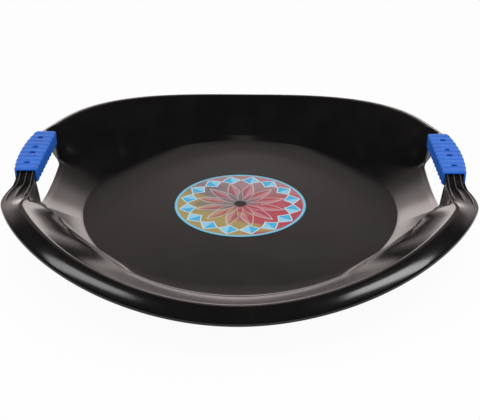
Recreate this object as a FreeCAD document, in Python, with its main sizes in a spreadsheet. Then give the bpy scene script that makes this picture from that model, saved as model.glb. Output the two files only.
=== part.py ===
import FreeCAD, Part
import math
import os

import Sketcher
from FreeCAD import Placement, Vector

doc = FreeCAD.newDocument("saucer_sled")
sheet = doc.addObject("Spreadsheet::Sheet", "Sizes")

# Driving dimensions in millimetres. Heights of the dish are above the top of its floor.
SIZES = [
    ("sheet_thickness", 3.0, "wall of the moulded dish"),
    ("floor_radius", 190.0, "flat round floor"),
    ("wall_run", 81.0, "edge of the floor to the rim crest at the front and the back"),
    ("crest_flattening", 10.0, "how much less the crest radius is at the sides"),
    ("crest_low", 38.0, "crest height at the front and the back"),
    ("crest_high", 60.5, "crest height beside the handles"),
    ("lip_width", 18.6, "turned-down lip outside the crest"),
    ("lip_drop", 8.4, "fall of the lip from the crest to its edge"),
    ("lip_hem", 3.5, "short upright edge under the lip"),
    ("toe_low", 25.0, "gentle start of the wall at the front and the back"),
    ("toe_high", 10.0, "tight start of the wall at the sides"),
    ("wall_slope_low", 32.0, "degrees, wall at the crest, front and back"),
    ("wall_slope_high", 26.0, "degrees, wall at the crest beside the handles"),
    ("rim_band", 3.0, "narrow band of the wall under the crest"),
    ("bar_setback", 28.7, "crest at the side to the straight inner edge of the handle bar"),
    ("bar_width", 21.0, "top of the handle bar at the ends of the grip"),
    ("bar_bow", 5.4, "outward bow of the bar's outer edge at its middle"),
    ("bar_rise", 7.0, "bar top above the crest"),
    ("bar_depth", 9.5, "side walls of the hollow bar"),
    ("leg_length", 50.0, "end of the hand window to the foot of the bar"),
    ("sill_height", 28.0, "lower edge of the hand window"),
    ("sill_inset", 3.0, "lower edge of the window inside the inner edge of the bar"),
    ("window_land", 0.5, "plain wall between the window's edges and the folds of the wall"),
    ("window_corner", 4.0, "radius of the window's lower corners"),
    ("crease_gap", 5.0, "crease of the side wall short of the sill"),
    ("rib_width", 2.0, "each rib along the bar"),
    ("rib_height", 2.0, "rib above the bar top"),
    ("decal_radius", 80.5, "round sticker"),
    ("decal_hole", 7.5, "radius of the hole in the sticker"),
    ("decal_thickness", 0.3, "sticker"),
    ("grip_length", 109.0, "grip along the bar"),
    ("grip_wall", 1.6, "wall of the grip cover"),
    ("grip_corner", 3.0, "rounded upper edges of the grip"),
    ("grip_clearance", 0.2, "grip to bar, and base to cover"),
    ("base_thickness", 2.0, "plate that closes the grip below"),
    ("ridge_height", 0.8, "ridge across the grip"),
    ("ridge_width", 5.5, "ridge along the bar"),
    ("ridge_count", 10, "ridges on each grip"),
    ("catch_width", 6.4, "half-moon window of the grip across the bar"),
    ("catch_length", 5.8, "half-moon window along the bar"),
    ("catch_gap", 1.2, "peg to the edge of its half-moon window"),
    ("catch_inner_place", 7.5, "inner pair of windows from the middle of the grip"),
    ("catch_outer_place", 35.5, "outer pair of windows from the middle of the grip"),
    ("peg_recess", 1.2, "peg top below the grip's top"),
]
for line, (alias, value, note) in enumerate(SIZES, start=1):
    sheet.set(f"A{line}", alias)
    sheet.set(f"B{line}", str(value))
    sheet.set(f"C{line}", note)
    sheet.setAlias(f"B{line}", alias)
doc.recompute()


def size(alias):
    """One driving dimension as a number."""
    return float(sheet.get(alias))


def evaluate(expression):
    """Value of an expression of the sheet."""
    return float(sheet.evalExpression(expression))


thickness = size("sheet_thickness")
crest_radius = size("floor_radius") + size("wall_run")
side_radius = crest_radius - size("crest_flattening")
bar_inner = side_radius - size("bar_setback")
bar_middle = bar_inner + size("bar_width") / 2
bar_top = size("crest_high") + size("bar_rise")
window_end = size("grip_length") / 2 + size("grip_clearance")
leg_end = window_end + size("leg_length")
bow_radius = ((size("grip_length") / 2) ** 2 + size("bar_bow") ** 2) / (2 * size("bar_bow"))
window_angle = math.atan2(bar_inner, window_end)
sill_cone_run = math.hypot(bar_inner - size("sill_inset"), window_end) - size("floor_radius")

# Counts of sections round the dish and of the patches that they are joined into.
SECTIONS = 144
PATCHES = 8

# Angles from the front or back: where the rim has climbed to its full height, and where the crease starts.
SADDLE_ANGLE = math.radians(60)
CREASE_START = math.radians(46)
CREASE_EASE = math.radians(8)
CREASE_SHARPNESS = 0.7

# Straight upper part of the wall, as a share of the wall: front and back, beside the handles, under a window.
REACH_LOW = 0.75
REACH_HIGH = 0.45
REACH_SILL = 0.5

# Stretches of a handle's leg, as shares of its length, on which the bar gives way to the round rim.
INNER_EDGE_STRETCH = (0.8, 1.5)
OUTER_EDGE_STRETCH = (0.15, 1.15)
BOW_STRETCH = 0.3
RISE_STRETCH = (0.3, 1.0)
SILL_STRETCH = (-0.1, 1.0)

# Fall of the lip at a third and at two thirds of its width, as shares of a straight fall.
LIP_BOW = (0.5, 0.75)

# Ribs as shares of the bar's width, and the share of the leg at which they start to run out.
RIB_PLACES = (0.12, 0.45, 0.80)
RIB_STATIONS = 10
RIB_RUN_OUT = 0.75
RIB_SINK = 1 / 3

# Half-moon windows of the grips: midway between two ribs, in two pairs along the bar.
CATCH_PLACE = (RIB_PLACES[1] + RIB_PLACES[2]) / 2
CATCH_PAIRS = ("catch_inner_place", "catch_outer_place")


def smooth(value, start, end):
    """Ease from 0 at start to 1 at end, flat at both."""
    share = min(max((value - start) / (end - start), 0.0), 1.0)
    return share * share * (3 - 2 * share)


def mix(first, second, share):
    """Blend two numbers or vectors."""
    return first * (1 - share) + second * share


def turned(slope):
    """Unit step outwards and upwards at a slope in radians."""
    return math.cos(slope), math.sin(slope)


def corner_offset(slope_in, slope_out):
    """Shift that carries a corner of the upper side to the underside of a sheet of even thickness."""
    half_turn = (slope_out - slope_in) / 2
    across = thickness / math.cos(half_turn)
    bisector = (slope_in + slope_out) / 2
    return across * math.sin(bisector), -across * math.cos(bisector)


def bar_share(along, stretch):
    """How far the bar holds at a distance along it: 1 beside the window, 0 past a stretch of the leg."""
    first, last = (window_end + share * size("leg_length") for share in stretch)
    return 1 - smooth(along, first, last)


def bow_at(along):
    """Outward bow of the bar's outer edge, an arc that stays straight past a stretch of the leg."""
    reach = min(along, window_end + BOW_STRETCH * size("leg_length"))
    return math.sqrt(bow_radius ** 2 - reach ** 2) - bow_radius + size("bar_bow")


def section(angle):
    """Strips of the moulding at one angle round the dish, out to the hem and back along the underside.

    Each strip is a list of poles: a cubic where it has four or more, else a straight line.
    """
    right = 1 if math.cos(angle) >= 0 else -1
    back = 1 if math.sin(angle) >= 0 else -1
    from_side = math.atan2(abs(math.sin(angle)), abs(math.cos(angle)))
    from_end = math.pi / 2 - from_side
    radial = Vector(math.cos(from_side), math.sin(from_side), 0)
    saddle = smooth(from_end, 0, SADDLE_ANGLE)

    # The rim's circle, and how far the handle bar takes over from it along the bar.
    round_crest = crest_radius - size("crest_flattening") * radial.x ** 2
    along = round_crest * radial.y
    inner_share = bar_share(along, INNER_EDGE_STRETCH)
    outer_share = bar_share(along, OUTER_EDGE_STRETCH)
    rise_share = bar_share(along, RISE_STRETCH)
    sill_share = bar_share(along, SILL_STRETCH)

    crest_height = mix(size("crest_low"), size("crest_high"), saddle) + size("bar_rise") * rise_share
    crest = mix(radial * round_crest, Vector(bar_inner, along, 0), inner_share)
    round_edge = radial * (round_crest + size("lip_width"))
    bar_edge = Vector(bar_inner + size("bar_width") + bow_at(along), along, 0)
    edge = mix(round_edge, bar_edge, outer_share)
    outward = (edge - crest).normalize()
    crest.z = crest_height
    edge.z = crest_height - size("lip_drop") * (1 - outer_share)
    hem = edge - Vector(0, 0, mix(size("lip_hem"), size("bar_depth"), outer_share))

    # Wall from the floor to the foot of the rim. Its lower cone ends at a crease that falls from the corner
    # of the hand window to the floor's edge, and above the crease the wall is steep and eases out to the rim.
    toe = mix(size("toe_low"), size("toe_high"), saddle)
    start = radial * (size("floor_radius") - toe / 2)
    run = Vector(crest.x, crest.y, 0) - start
    inwards = Vector(run).normalize()
    end_slope = math.radians(mix(size("wall_slope_low"), size("wall_slope_high"), saddle))
    foot_run = run.Length - mix(size("rim_band"), size("sill_inset"), sill_share)
    band_foot = crest_height - size("rim_band") * math.tan(end_slope)
    foot_height = mix(band_foot, size("sill_height"), sill_share)
    sill_slope = math.atan2(size("sill_height"), foot_run)
    wall_slope = mix(end_slope, sill_slope, sill_share)
    foot = start + inwards * foot_run
    foot.z = foot_height
    first = start + inwards * toe
    crease_share = smooth(from_end, CREASE_START, CREASE_START + CREASE_EASE)
    crease_climb = min(max((from_end - CREASE_START) / (window_angle - CREASE_START), 0.0), 1.0)
    crease_run = mix(toe, sill_cone_run - size("crease_gap"), crease_climb)
    crease = start + inwards * crease_run
    crease.z = crease_climb * size("sill_height") * (1 - size("crease_gap") / sill_cone_run)
    reach = mix(mix(REACH_LOW, REACH_HIGH, saddle), REACH_SILL, sill_share)
    level, upright = turned(wall_slope)
    plain_span = reach * (foot - mix(first, crease, crease_share)).Length
    second = foot - inwards * (plain_span * level) - Vector(0, 0, plain_span * upright)
    bend = mix(mix(first, second, 2 / 3), crease, crease_share)
    lower = mix(first, bend, mix(1 / 2, CREASE_SHARPNESS, crease_share))

    # Inner wall of the bar: leaning up from the sill to the bar, upright on the bar and just under it.
    lintel = mix(mix(foot, crest, 1 / 2), Vector(crest.x, crest.y, 0), sill_share)
    lintel.z = crest.z - min(size("bar_depth") + size("window_land"), (crest.z - foot.z) / 2)

    # Lip between crest and edge, level at the crest and bending down to the edge.
    lip_first = mix(crest, edge, 1 / 3)
    lip_second = mix(crest, edge, 2 / 3)
    lip_first.z = mix(crest.z, lip_first.z, LIP_BOW[0])
    lip_second.z = mix(crest.z, lip_second.z, LIP_BOW[1])

    def wall_slope_between(near, far):
        """Slope of the straight line between two points of the wall."""
        return math.atan2(far.z - near.z, (far - near).dot(inwards))

    def lip_slope_between(near, far):
        """Slope of the straight line between two points of the lip."""
        return math.atan2(far.z - near.z, (far - near).dot(outward))

    def below(point, direction, slope_in, slope_out):
        """The underside's point under a point of the upper side."""
        out, up = corner_offset(slope_in, slope_out)
        return point + direction * out + Vector(0, 0, up)

    cone_slope = wall_slope_between(first, lower)
    crease_slope = wall_slope_between(lower, bend)
    steep_slope = wall_slope_between(bend, second)
    lean_slope = wall_slope_between(foot, lintel)
    rim_slope = wall_slope_between(lintel, crest)
    lip_start = lip_slope_between(crest, lip_first)
    lip_end = lip_slope_between(lip_second, edge)
    lip_slope = (lip_start + lip_end) / 2
    hem_inside = hem - outward * thickness
    edge_under = below(edge, outward, lip_end, -math.pi / 2)
    lip_second_under = below(lip_second, outward, lip_slope, lip_slope)
    lip_first_under = below(lip_first, outward, lip_start, lip_start)
    crest_under = below(crest, outward, rim_slope, lip_start)
    lintel_under = below(lintel, inwards, lean_slope, rim_slope)
    foot_under = below(foot, inwards, wall_slope, lean_slope)
    second_under = below(second, inwards, steep_slope, wall_slope)
    bend_under = below(bend, inwards, crease_slope, steep_slope)
    lower_under = below(lower, inwards, cone_slope, crease_slope)
    first_under = below(first, inwards, 0, cone_slope)
    start_under = below(start, inwards, 0, 0)
    strips = {
        "wall": [start, first, lower, bend, second, foot],
        "lean": [foot, lintel],
        "rim": [lintel, crest],
        "lip": [crest, lip_first, lip_second, edge],
        "hem": [edge, hem],
        "hem_foot": [hem, hem_inside],
        "hem_inside": [hem_inside, edge_under],
        "lip_under": [edge_under, lip_second_under, lip_first_under, crest_under],
        "rim_under": [crest_under, lintel_under],
        "lean_under": [lintel_under, foot_under],
        "wall_under": [foot_under, second_under, bend_under, lower_under, first_under, start_under],
    }
    return {name: [Vector(right * point.x, back * point.y, point.z + thickness) for point in points]
            for name, points in strips.items()}


def ring_patches(poles):
    """One strip all round the dish, in patches: an even cubic round the rim, straight or cubic across."""
    count = len(poles[0])
    degree = min(count - 1, 3)
    spans = count - degree
    ring = Part.BSplineSurface()
    ring.buildFromPolesMultsKnots(
        poles,
        [1] * (SECTIONS + 1), [degree + 1] + [1] * (spans - 1) + [degree + 1],
        list(range(SECTIONS + 1)), list(range(spans + 1)),
        True, False, 3, degree)
    step = SECTIONS // PATCHES
    patches = []
    for number in range(PATCHES):
        # The curve at a whole parameter lies beside the pole after it, so patches part between the eighths.
        begin = number * step + step // 2 - 1
        patch = ring.copy()
        patch.segment(begin, begin + step, 0, spans)
        patches.append(patch)
    return patches


def moulded_sheet():
    """The dish as one closed sheet, before its windows and slots are cut."""
    sections = [section(2 * math.pi * index / SECTIONS) for index in range(SECTIONS)]
    rings = {name: ring_patches([poles[name] for poles in sections]) for name in sections[0]}
    faces = [patch.toShape() for patches in rings.values() for patch in patches]
    floor_top = [patch.vIso(patch.bounds()[2]).toShape() for patch in rings["wall"]]
    floor_under = [patch.vIso(patch.bounds()[3]).toShape() for patch in rings["wall_under"]]
    faces += [Part.Face(Part.Wire(edges)) for edges in (floor_top, floor_under)]
    shell = Part.Shell(faces)
    shell.sewShape()
    solid = Part.Solid(shell)
    if solid.Volume < 0:
        solid.reverse()
    return solid


def lip_point(angle, share):
    """Point of the upper side between the crest and the edge of the lip, at a share of its width."""
    crest, first, second, edge = section(angle)["lip"]
    rest = 1 - share
    return (crest * rest ** 3 + first * (3 * share * rest ** 2)
            + second * (3 * share ** 2 * rest) + edge * share ** 3)


def bar_rib(place):
    """One rib along the right-hand bar, which follows the bar's top and runs out at both feet."""
    last_angle = math.asin(leg_end / side_radius)
    wires = []
    for index in range(-RIB_STATIONS, RIB_STATIONS + 1):
        top = lip_point(last_angle * index / RIB_STATIONS, place)
        sunk = smooth(abs(top.y), window_end + RIB_RUN_OUT * size("leg_length"), leg_end)
        height = mix(size("rib_height"), -thickness * RIB_SINK, sunk)
        half = Vector(size("rib_width") / 2, 0, 0)
        low = Vector(0, 0, -thickness / 2)
        high = Vector(0, 0, height)
        corners = [top - half + low, top + half + low, top + half + high, top - half + high]
        wires.append(Part.makePolygon(corners + corners[:1]))
    return Part.makeLoft(wires, True, False)


def hand_window():
    """Cutter for the right-hand hand window: through the inner wall of the bar only."""
    sill = size("sill_height") + size("window_land") + thickness
    height = bar_top - size("bar_depth") + thickness - sill
    near = bar_inner - size("sill_inset") - thickness
    deep = bar_middle - near
    block = Part.makeBox(deep, 2 * window_end, height, Vector(near, -window_end, sill))
    lower_corners = [edge for edge in block.Edges
                     if edge.BoundBox.XLength > deep / 2 and edge.BoundBox.ZMax < sill + height / 2]
    return block.makeFillet(min(size("window_corner"), height / 2), lower_corners)


def peg_slots():
    """Cutters for the slots in the top of the right-hand bar, one for each peg of the grip."""
    wide = size("catch_width") - 2 * size("catch_gap") + 2 * size("grip_clearance")
    long = size("catch_length") - 2 * size("catch_gap") + 2 * size("grip_clearance")
    near = bar_inner + CATCH_PLACE * size("bar_width") - wide / 2
    low = bar_top - thickness / 2
    high = 2 * thickness + size("rib_height")
    places = [sign * size(name) for name in CATCH_PAIRS for sign in (-1, 1)]
    return [Part.makeBox(wide, long, high, Vector(near, place - long / 2, low)) for place in places]


def both_sides(shapes):
    """The right-hand shapes and the same ones turned half round for the left."""
    turned_shapes = [shape.rotated(Vector(), Vector(0, 0, 1), 180) for shape in shapes]
    return shapes + turned_shapes


def dish_shape():
    """The moulding with its ribs, hand windows and peg slots."""
    ribs = both_sides([bar_rib(place) for place in RIB_PLACES])
    cutters = both_sides([hand_window()] + peg_slots())
    return moulded_sheet().fuse(ribs).cut(cutters).removeSplitter()


dish = doc.addObject("Part::Feature", "dish")
dish.Label = "dish"
dish.Shape = dish_shape()
dish.Placement = Placement()


def origin_plane(body, role):
    """The body's own origin plane or axis of that role."""
    return next(item for item in body.Origin.OriginFeatures if item.Role == role)


def outline(body, name, plane, *loops):
    """Sketch of closed outlines whose corners are bound to expressions of the sheet.

    Each loop is its corners and its arcs. An edge whose number is in arcs is an arc, with the expressions of
    its centre and the axis that fixes the centre.
    """
    sketch = body.newObject("Sketcher::SketchObject", name)
    sketch.AttachmentSupport = [(origin_plane(body, plane), "")]
    sketch.MapMode = "FlatFace"
    for corners, arcs in loops:
        points = [Vector(evaluate(across), evaluate(up), 0) for across, up in corners]
        count = len(points)
        first = sketch.GeometryCount
        for index, point in enumerate(points):
            following = points[(index + 1) % count]
            if index in arcs:
                centre = Vector(evaluate(arcs[index][0]), evaluate(arcs[index][1]), 0)
                circle = Part.Circle(centre, Vector(0, 0, 1), (point - centre).Length)
                ends = circle.parameter(point), circle.parameter(following)
                sketch.addGeometry(Part.ArcOfCircle(circle, *ends))
            else:
                sketch.addGeometry(Part.LineSegment(point, following))
        for index in range(count):
            joint = (first + index, 2, first + (index + 1) % count, 1)
            sketch.addConstraint(Sketcher.Constraint("Coincident", *joint))
        for index, (across, up) in enumerate(corners):
            bind_point(sketch, first + index, 1, "DistanceX", across)
            bind_point(sketch, first + index, 1, "DistanceY", up)
        for index, (across, up, axis) in arcs.items():
            bind_point(sketch, first + index, 3, axis, across if axis == "DistanceX" else up)
    return sketch


def bind_point(sketch, edge, end, axis, expression):
    """Hold one coordinate of a point of a sketch at an expression of the sheet."""
    if expression == "0":
        line = -2 if axis == "DistanceX" else -1
        sketch.addConstraint(Sketcher.Constraint("PointOnObject", edge, end, line))
        return
    number = sketch.addConstraint(Sketcher.Constraint(axis, -1, 1, edge, end, evaluate(expression)))
    sketch.setExpression(f"Constraints[{number}]", expression)


def rectangle(near, low, wide, high):
    """Loop of a rectangle."""
    right = f"{near} + {wide}"
    top = f"{low} + {high}"
    return [(near, low), (right, low), (right, top), (near, top)], {}


def half_moon(across, along, wide, long):
    """Loop with a straight front and a half-round back, about its middle."""
    straight = f"({long} - {wide} / 2)"
    corners, _ = rectangle(f"({across} - {wide} / 2)", f"({along} - {long} / 2)", wide, straight)
    return corners, {2: (across, corners[2][1], "DistanceY")}


def bowed(near, far):
    """Loop of the grip's plan between a straight inner edge and an outer edge that bows as the bar does."""
    corners = [(near, "0"), (far, "0"), (far, "Sizes.grip_length"), (near, "Sizes.grip_length")]
    return corners, {1: (f"{far} + {BOW_CENTRE}", "Sizes.grip_length / 2", "DistanceX")}


def pad(body, name, sketch, length):
    """Material from a sketch along its normal."""
    feature = body.newObject("PartDesign::Pad", name)
    feature.Profile = sketch
    feature.setExpression("Length", length)
    return feature


def pocket(body, name, sketch):
    """Cut through everything on both sides of a sketch."""
    feature = body.newObject("PartDesign::Pocket", name)
    feature.Profile = sketch
    feature.SideType = "Symmetric"
    feature.Type = "ThroughAll"
    return feature


# Sizes of the grips that follow from the bar, as expressions.
BAR_INNER = "(Sizes.floor_radius + Sizes.wall_run - Sizes.crest_flattening - Sizes.bar_setback)"
BAR_UNDERSIDE = "(Sizes.sheet_thickness + Sizes.crest_high + Sizes.bar_rise - Sizes.bar_depth)"
BOW_RADIUS = "((Sizes.grip_length ^ 2 / 4 + Sizes.bar_bow ^ 2) / (2 * Sizes.bar_bow))"
BOW_CENTRE = f"(Sizes.bar_bow - {BOW_RADIUS})"
CAVITY_WIDTH = "(Sizes.bar_width + 2 * Sizes.grip_clearance)"
CAVITY_HEIGHT = "(Sizes.base_thickness + Sizes.bar_depth + Sizes.rib_height + 2 * Sizes.grip_clearance)"
COVER_WIDTH = f"({CAVITY_WIDTH} + 2 * Sizes.grip_wall)"
COVER_HEIGHT = f"({CAVITY_HEIGHT} + Sizes.grip_wall)"
COVER_CORNER = "min(Sizes.grip_corner; 3 * Sizes.grip_wall)"
BAR_OFFSET = "(Sizes.grip_wall + Sizes.grip_clearance)"
RIDGE_PITCH = "(Sizes.grip_length / Sizes.ridge_count)"
GROOVE_WIDTH = f"({RIDGE_PITCH} - Sizes.ridge_width)"
PEG_WIDTH = "(Sizes.catch_width - 2 * Sizes.catch_gap)"
PEG_LENGTH = "(Sizes.catch_length - 2 * Sizes.catch_gap)"
CATCH_ACROSS = f"({BAR_OFFSET} + {CATCH_PLACE} * Sizes.bar_width)"
CATCH_ALONG = [f"(Sizes.grip_length / 2 {sign} Sizes.{name})" for name in CATCH_PAIRS for sign in "-+"]


def grip_body(half):
    """Empty body of one half of the right-hand grip, with its origin at the lower inner front corner."""
    body = doc.addObject("PartDesign::Body", f"right_grip_{half}")
    body.Label = f"right_grip_{half}"
    body.setExpression("Placement.Base.x", f"{BAR_INNER} - {BAR_OFFSET}")
    body.setExpression("Placement.Base.y", "-Sizes.grip_length / 2")
    body.setExpression("Placement.Base.z", f"{BAR_UNDERSIDE} - Sizes.grip_clearance - Sizes.base_thickness")
    return body


def outer_groove(number):
    """Loop of one groove between ridges on the bowed outer side of the grip."""
    middle = f"{number} * {RIDGE_PITCH}"
    ends = [f"({middle} {sign} {GROOVE_WIDTH} / 2)" for sign in "-+"]
    bed = [f"{COVER_WIDTH} + {BOW_CENTRE} + sqrt({BOW_RADIUS} ^ 2 - ({end} - Sizes.grip_length / 2) ^ 2)"
           for end in ends]
    clear = f"({COVER_WIDTH} + Sizes.bar_bow + 2 * Sizes.ridge_height)"
    return [(bed[0], ends[0]), (clear, ends[0]), (clear, ends[1]), (bed[1], ends[1])], {}


def grip_cover():
    """Upper half of a grip: a ridged channel over the bar, with a half-moon window over each peg."""
    body = grip_body("cover")
    ridge_face = "-Sizes.ridge_height"
    plan = bowed(ridge_face, f"{COVER_WIDTH} + Sizes.ridge_height")
    block = pad(body, "block", outline(body, "block_plan", "XY_Plane", plan),
                f"{COVER_HEIGHT} + Sizes.ridge_height")
    doc.recompute()
    long_edges = [f"Edge{number}" for number, edge in enumerate(block.Shape.Edges, start=1)
                  if edge.BoundBox.ZMin > block.Shape.BoundBox.ZLength / 2
                  and edge.BoundBox.YLength > block.Shape.BoundBox.YLength / 2]
    rounding = body.newObject("PartDesign::Fillet", "rounding")
    rounding.Base = (block, long_edges)
    rounding.setExpression("Radius", COVER_CORNER)

    # Grooves between the ridges: over the inner side and the top in one cut, and on the bowed outer side.
    below = "-Sizes.ridge_height"
    beside = "-2 * Sizes.ridge_height"
    above = f"{COVER_HEIGHT} + 2 * Sizes.ridge_height"
    past = f"{COVER_WIDTH} + Sizes.bar_bow + 2 * Sizes.ridge_height"
    corner = [(beside, below), ("0", below), ("0", COVER_HEIGHT), (past, COVER_HEIGHT), (past, above),
              (beside, above)]
    groove = body.newObject("PartDesign::Pocket", "groove")
    groove.Profile = outline(body, "groove_outline", "XZ_Plane", (corner, {}))
    groove.SideType = "Symmetric"
    groove.setExpression("Length", GROOVE_WIDTH)
    grooves = body.newObject("PartDesign::LinearPattern", "grooves")
    grooves.Originals = [groove]
    grooves.Direction = (origin_plane(body, "Y_Axis"), [""])
    grooves.setExpression("Length", "Sizes.grip_length")
    grooves.setExpression("Occurrences", "Sizes.ridge_count + 1")
    body.Tip = grooves
    loops = [outer_groove(number) for number in range(int(size("ridge_count")) + 1)]
    pocket(body, "outer_grooves", outline(body, "outer_groove_plan", "XY_Plane", *loops))

    channel = body.newObject("PartDesign::Pocket", "channel")
    hollow = bowed("Sizes.grip_wall", f"(Sizes.grip_wall + {CAVITY_WIDTH})")
    channel.Profile = outline(body, "channel_plan", "XY_Plane", hollow)
    channel.setExpression("Length", CAVITY_HEIGHT)
    channel.Reversed = True
    windows = [half_moon(CATCH_ACROSS, along, "Sizes.catch_width", "Sizes.catch_length")
               for along in CATCH_ALONG]
    pocket(body, "catch_windows", outline(body, "catch_plan", "XY_Plane", *windows))
    return body


def grip_base():
    """Lower half of a grip: a plate under the bar, with pegs that rise through the bar into the windows."""
    body = grip_body("base")
    plan = bowed(BAR_OFFSET, f"({BAR_OFFSET} + Sizes.bar_width)")
    pad(body, "plate", outline(body, "plate_plan", "XY_Plane", plan), "Sizes.base_thickness")
    feet = [half_moon(CATCH_ACROSS, along, PEG_WIDTH, PEG_LENGTH) for along in CATCH_ALONG]
    pad(body, "pegs", outline(body, "peg_plan", "XY_Plane", *feet), f"{COVER_HEIGHT} - Sizes.peg_recess")
    return body


def left_copy(piece):
    """The left-hand piece, a mirror image of the right-hand one."""
    copy = doc.addObject("Part::Mirroring", piece.Label.replace("right", "left"))
    copy.Label = piece.Label.replace("right", "left")
    copy.Source = piece
    copy.Normal = Vector(1, 0, 0)
    return copy


def floor_decal():
    """Round sticker on the floor, with a hole at its centre."""
    body = doc.addObject("PartDesign::Body", "decal")
    body.Label = "decal"
    sketch = body.newObject("Sketcher::SketchObject", "decal_outline")
    sketch.AttachmentSupport = [(origin_plane(body, "XY_Plane"), "")]
    sketch.MapMode = "FlatFace"
    for number, alias in enumerate(("decal_radius", "decal_hole")):
        sketch.addGeometry(Part.Circle(Vector(), Vector(0, 0, 1), size(alias)))
        sketch.addConstraint(Sketcher.Constraint("Coincident", number, 3, -1, 1))
        radius = sketch.addConstraint(Sketcher.Constraint("Radius", number, size(alias)))
        sketch.setExpression(f"Constraints[{radius}]", f"Sizes.{alias}")
    pad(body, "decal_sheet", sketch, "Sizes.decal_thickness")
    body.setExpression("Placement.Base.z", "Sizes.sheet_thickness")
    return body


right_pieces = [grip_cover(), grip_base()]
left_pieces = [left_copy(piece) for piece in right_pieces]
pieces = [dish, floor_decal()] + right_pieces + left_pieces
doc.recompute()

for item in doc.Objects:
    if "Invalid" in item.State or "Error" in item.State:
        raise RuntimeError(f"{item.Label} did not recompute: {item.State}")
for piece in pieces:
    if piece.Shape.isNull() or not piece.Shape.isValid() or len(piece.Shape.Solids) != 1:
        raise RuntimeError(f"{piece.Label} is not one sound solid")

os.makedirs("parts", exist_ok=True)
for piece in pieces:
    piece.Shape.exportStep(f"parts/{piece.Label}.step")
    box = piece.Shape.optimalBoundingBox(False)
    print(f"{piece.Label}: {box.XLength:.1f} x {box.YLength:.1f} x {box.ZLength:.1f} mm, "
          f"{piece.Shape.Volume / 1000:.1f} cm3, z {box.ZMin:.1f} to {box.ZMax:.1f}")
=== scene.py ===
"""Looks of a saucer sled: a black dish, two blue grips on its handle bars and a round printed decal."""

import logging
import math
from dataclasses import dataclass
from enum import Enum, IntEnum
from typing import Any, Mapping, Optional, Sequence, Union

import bpy
import numpy as np
from mathutils import Matrix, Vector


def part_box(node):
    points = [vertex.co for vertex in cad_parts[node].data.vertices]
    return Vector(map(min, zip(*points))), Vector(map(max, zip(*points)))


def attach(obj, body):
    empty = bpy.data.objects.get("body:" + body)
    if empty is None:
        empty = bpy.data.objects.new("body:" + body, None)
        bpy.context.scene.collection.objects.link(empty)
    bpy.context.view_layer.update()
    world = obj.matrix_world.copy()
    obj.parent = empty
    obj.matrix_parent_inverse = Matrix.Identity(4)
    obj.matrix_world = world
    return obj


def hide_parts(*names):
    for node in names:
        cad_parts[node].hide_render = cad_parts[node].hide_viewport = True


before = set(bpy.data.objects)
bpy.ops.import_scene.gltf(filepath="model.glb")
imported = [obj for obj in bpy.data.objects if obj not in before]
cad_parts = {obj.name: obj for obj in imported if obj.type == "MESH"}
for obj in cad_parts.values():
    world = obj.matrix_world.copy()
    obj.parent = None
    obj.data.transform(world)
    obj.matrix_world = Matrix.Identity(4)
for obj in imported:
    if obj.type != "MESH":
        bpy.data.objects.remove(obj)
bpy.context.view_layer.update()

MM = 0.001
TINY = 1e-9
UP = np.array([0.0, 0.0, 1.0])
LOG = logging.getLogger("saucer_sled")

# Layer of the dish's mesh that says how far each point gets the painted highlight along the ribs' tops.
RIB_HIGHLIGHT_LAYER = "rib_highlight"

# Sockets of a Mix node that blends colours.
MIX_FACTOR = 0
MIX_FIRST = 6
MIX_SECOND = 7
MIX_RESULT = 2

WHITE = (1.0, 1.0, 1.0, 1.0)

Band = tuple[float, float]
Triple = tuple[float, float, float]
Colour = tuple[float, float, float, float]
Term = Union[float, "Value"]


class Side(Enum):
    """The two sides of the sled, with the sign of X on each."""

    LEFT = -1
    RIGHT = 1

    @property
    def word(self) -> str:
        """The side as it stands in the names of nodes."""
        return self.name.lower()


class Corner(IntEnum):
    """Corners of the dish's section, from floor to hem and back below; the numbers between steer curves."""

    START = 0
    FOOT = 5
    LINTEL = 6
    CREST = 7
    EDGE = 10
    HEM = 11
    HEM_INSIDE = 12
    UNDER_EDGE = 13
    UNDER_CREST = 16
    UNDER_LINTEL = 17
    UNDER_FOOT = 18
    UNDER_START = 23


@dataclass(frozen=True)
class Value:
    """A socket of a node tree, with the arithmetic that turns expressions into Math nodes."""

    nodes: "Nodes"
    socket: bpy.types.NodeSocket

    def output(self, name: Union[int, str]) -> "Value":
        """Another output of the same node."""
        return Value(self.nodes, self.socket.node.outputs[name])

    def __add__(self, other: Term) -> "Value":
        """This value plus another."""
        return self.nodes.math("ADD", self, other)

    def __radd__(self, other: Term) -> "Value":
        """Another value plus this one."""
        return self.nodes.math("ADD", other, self)

    def __sub__(self, other: Term) -> "Value":
        """This value minus another."""
        return self.nodes.math("SUBTRACT", self, other)

    def __rsub__(self, other: Term) -> "Value":
        """Another value minus this one."""
        return self.nodes.math("SUBTRACT", other, self)

    def __mul__(self, other: Term) -> "Value":
        """This value times another."""
        return self.nodes.math("MULTIPLY", self, other)

    def __rmul__(self, other: Term) -> "Value":
        """Another value times this one."""
        return self.nodes.math("MULTIPLY", other, self)

    def __truediv__(self, other: Term) -> "Value":
        """This value divided by another."""
        return self.nodes.math("DIVIDE", self, other)

    def __rtruediv__(self, other: Term) -> "Value":
        """Another value divided by this one."""
        return self.nodes.math("DIVIDE", other, self)

    def __pow__(self, other: Term) -> "Value":
        """This value raised to a power."""
        return self.nodes.math("POWER", self, other)

    def __rpow__(self, other: Term) -> "Value":
        """Another value raised to this power."""
        return self.nodes.math("POWER", other, self)

    def __abs__(self) -> "Value":
        """This value without its sign."""
        return self.nodes.math("ABSOLUTE", self)

    def fraction(self) -> "Value":
        """What this value has beyond a whole number."""
        return self.nodes.math("FRACT", self)

    def ease(self, start: float, end: float) -> "Value":
        """A soft step, 0 where this value is at start and 1 where it is at end."""
        return self.nodes.add(
            "ShaderNodeMapRange", {"interpolation_type": "SMOOTHSTEP"},
            {"Value": self, "From Min": start, "From Max": end, "To Min": 0.0, "To Max": 1.0})


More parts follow.
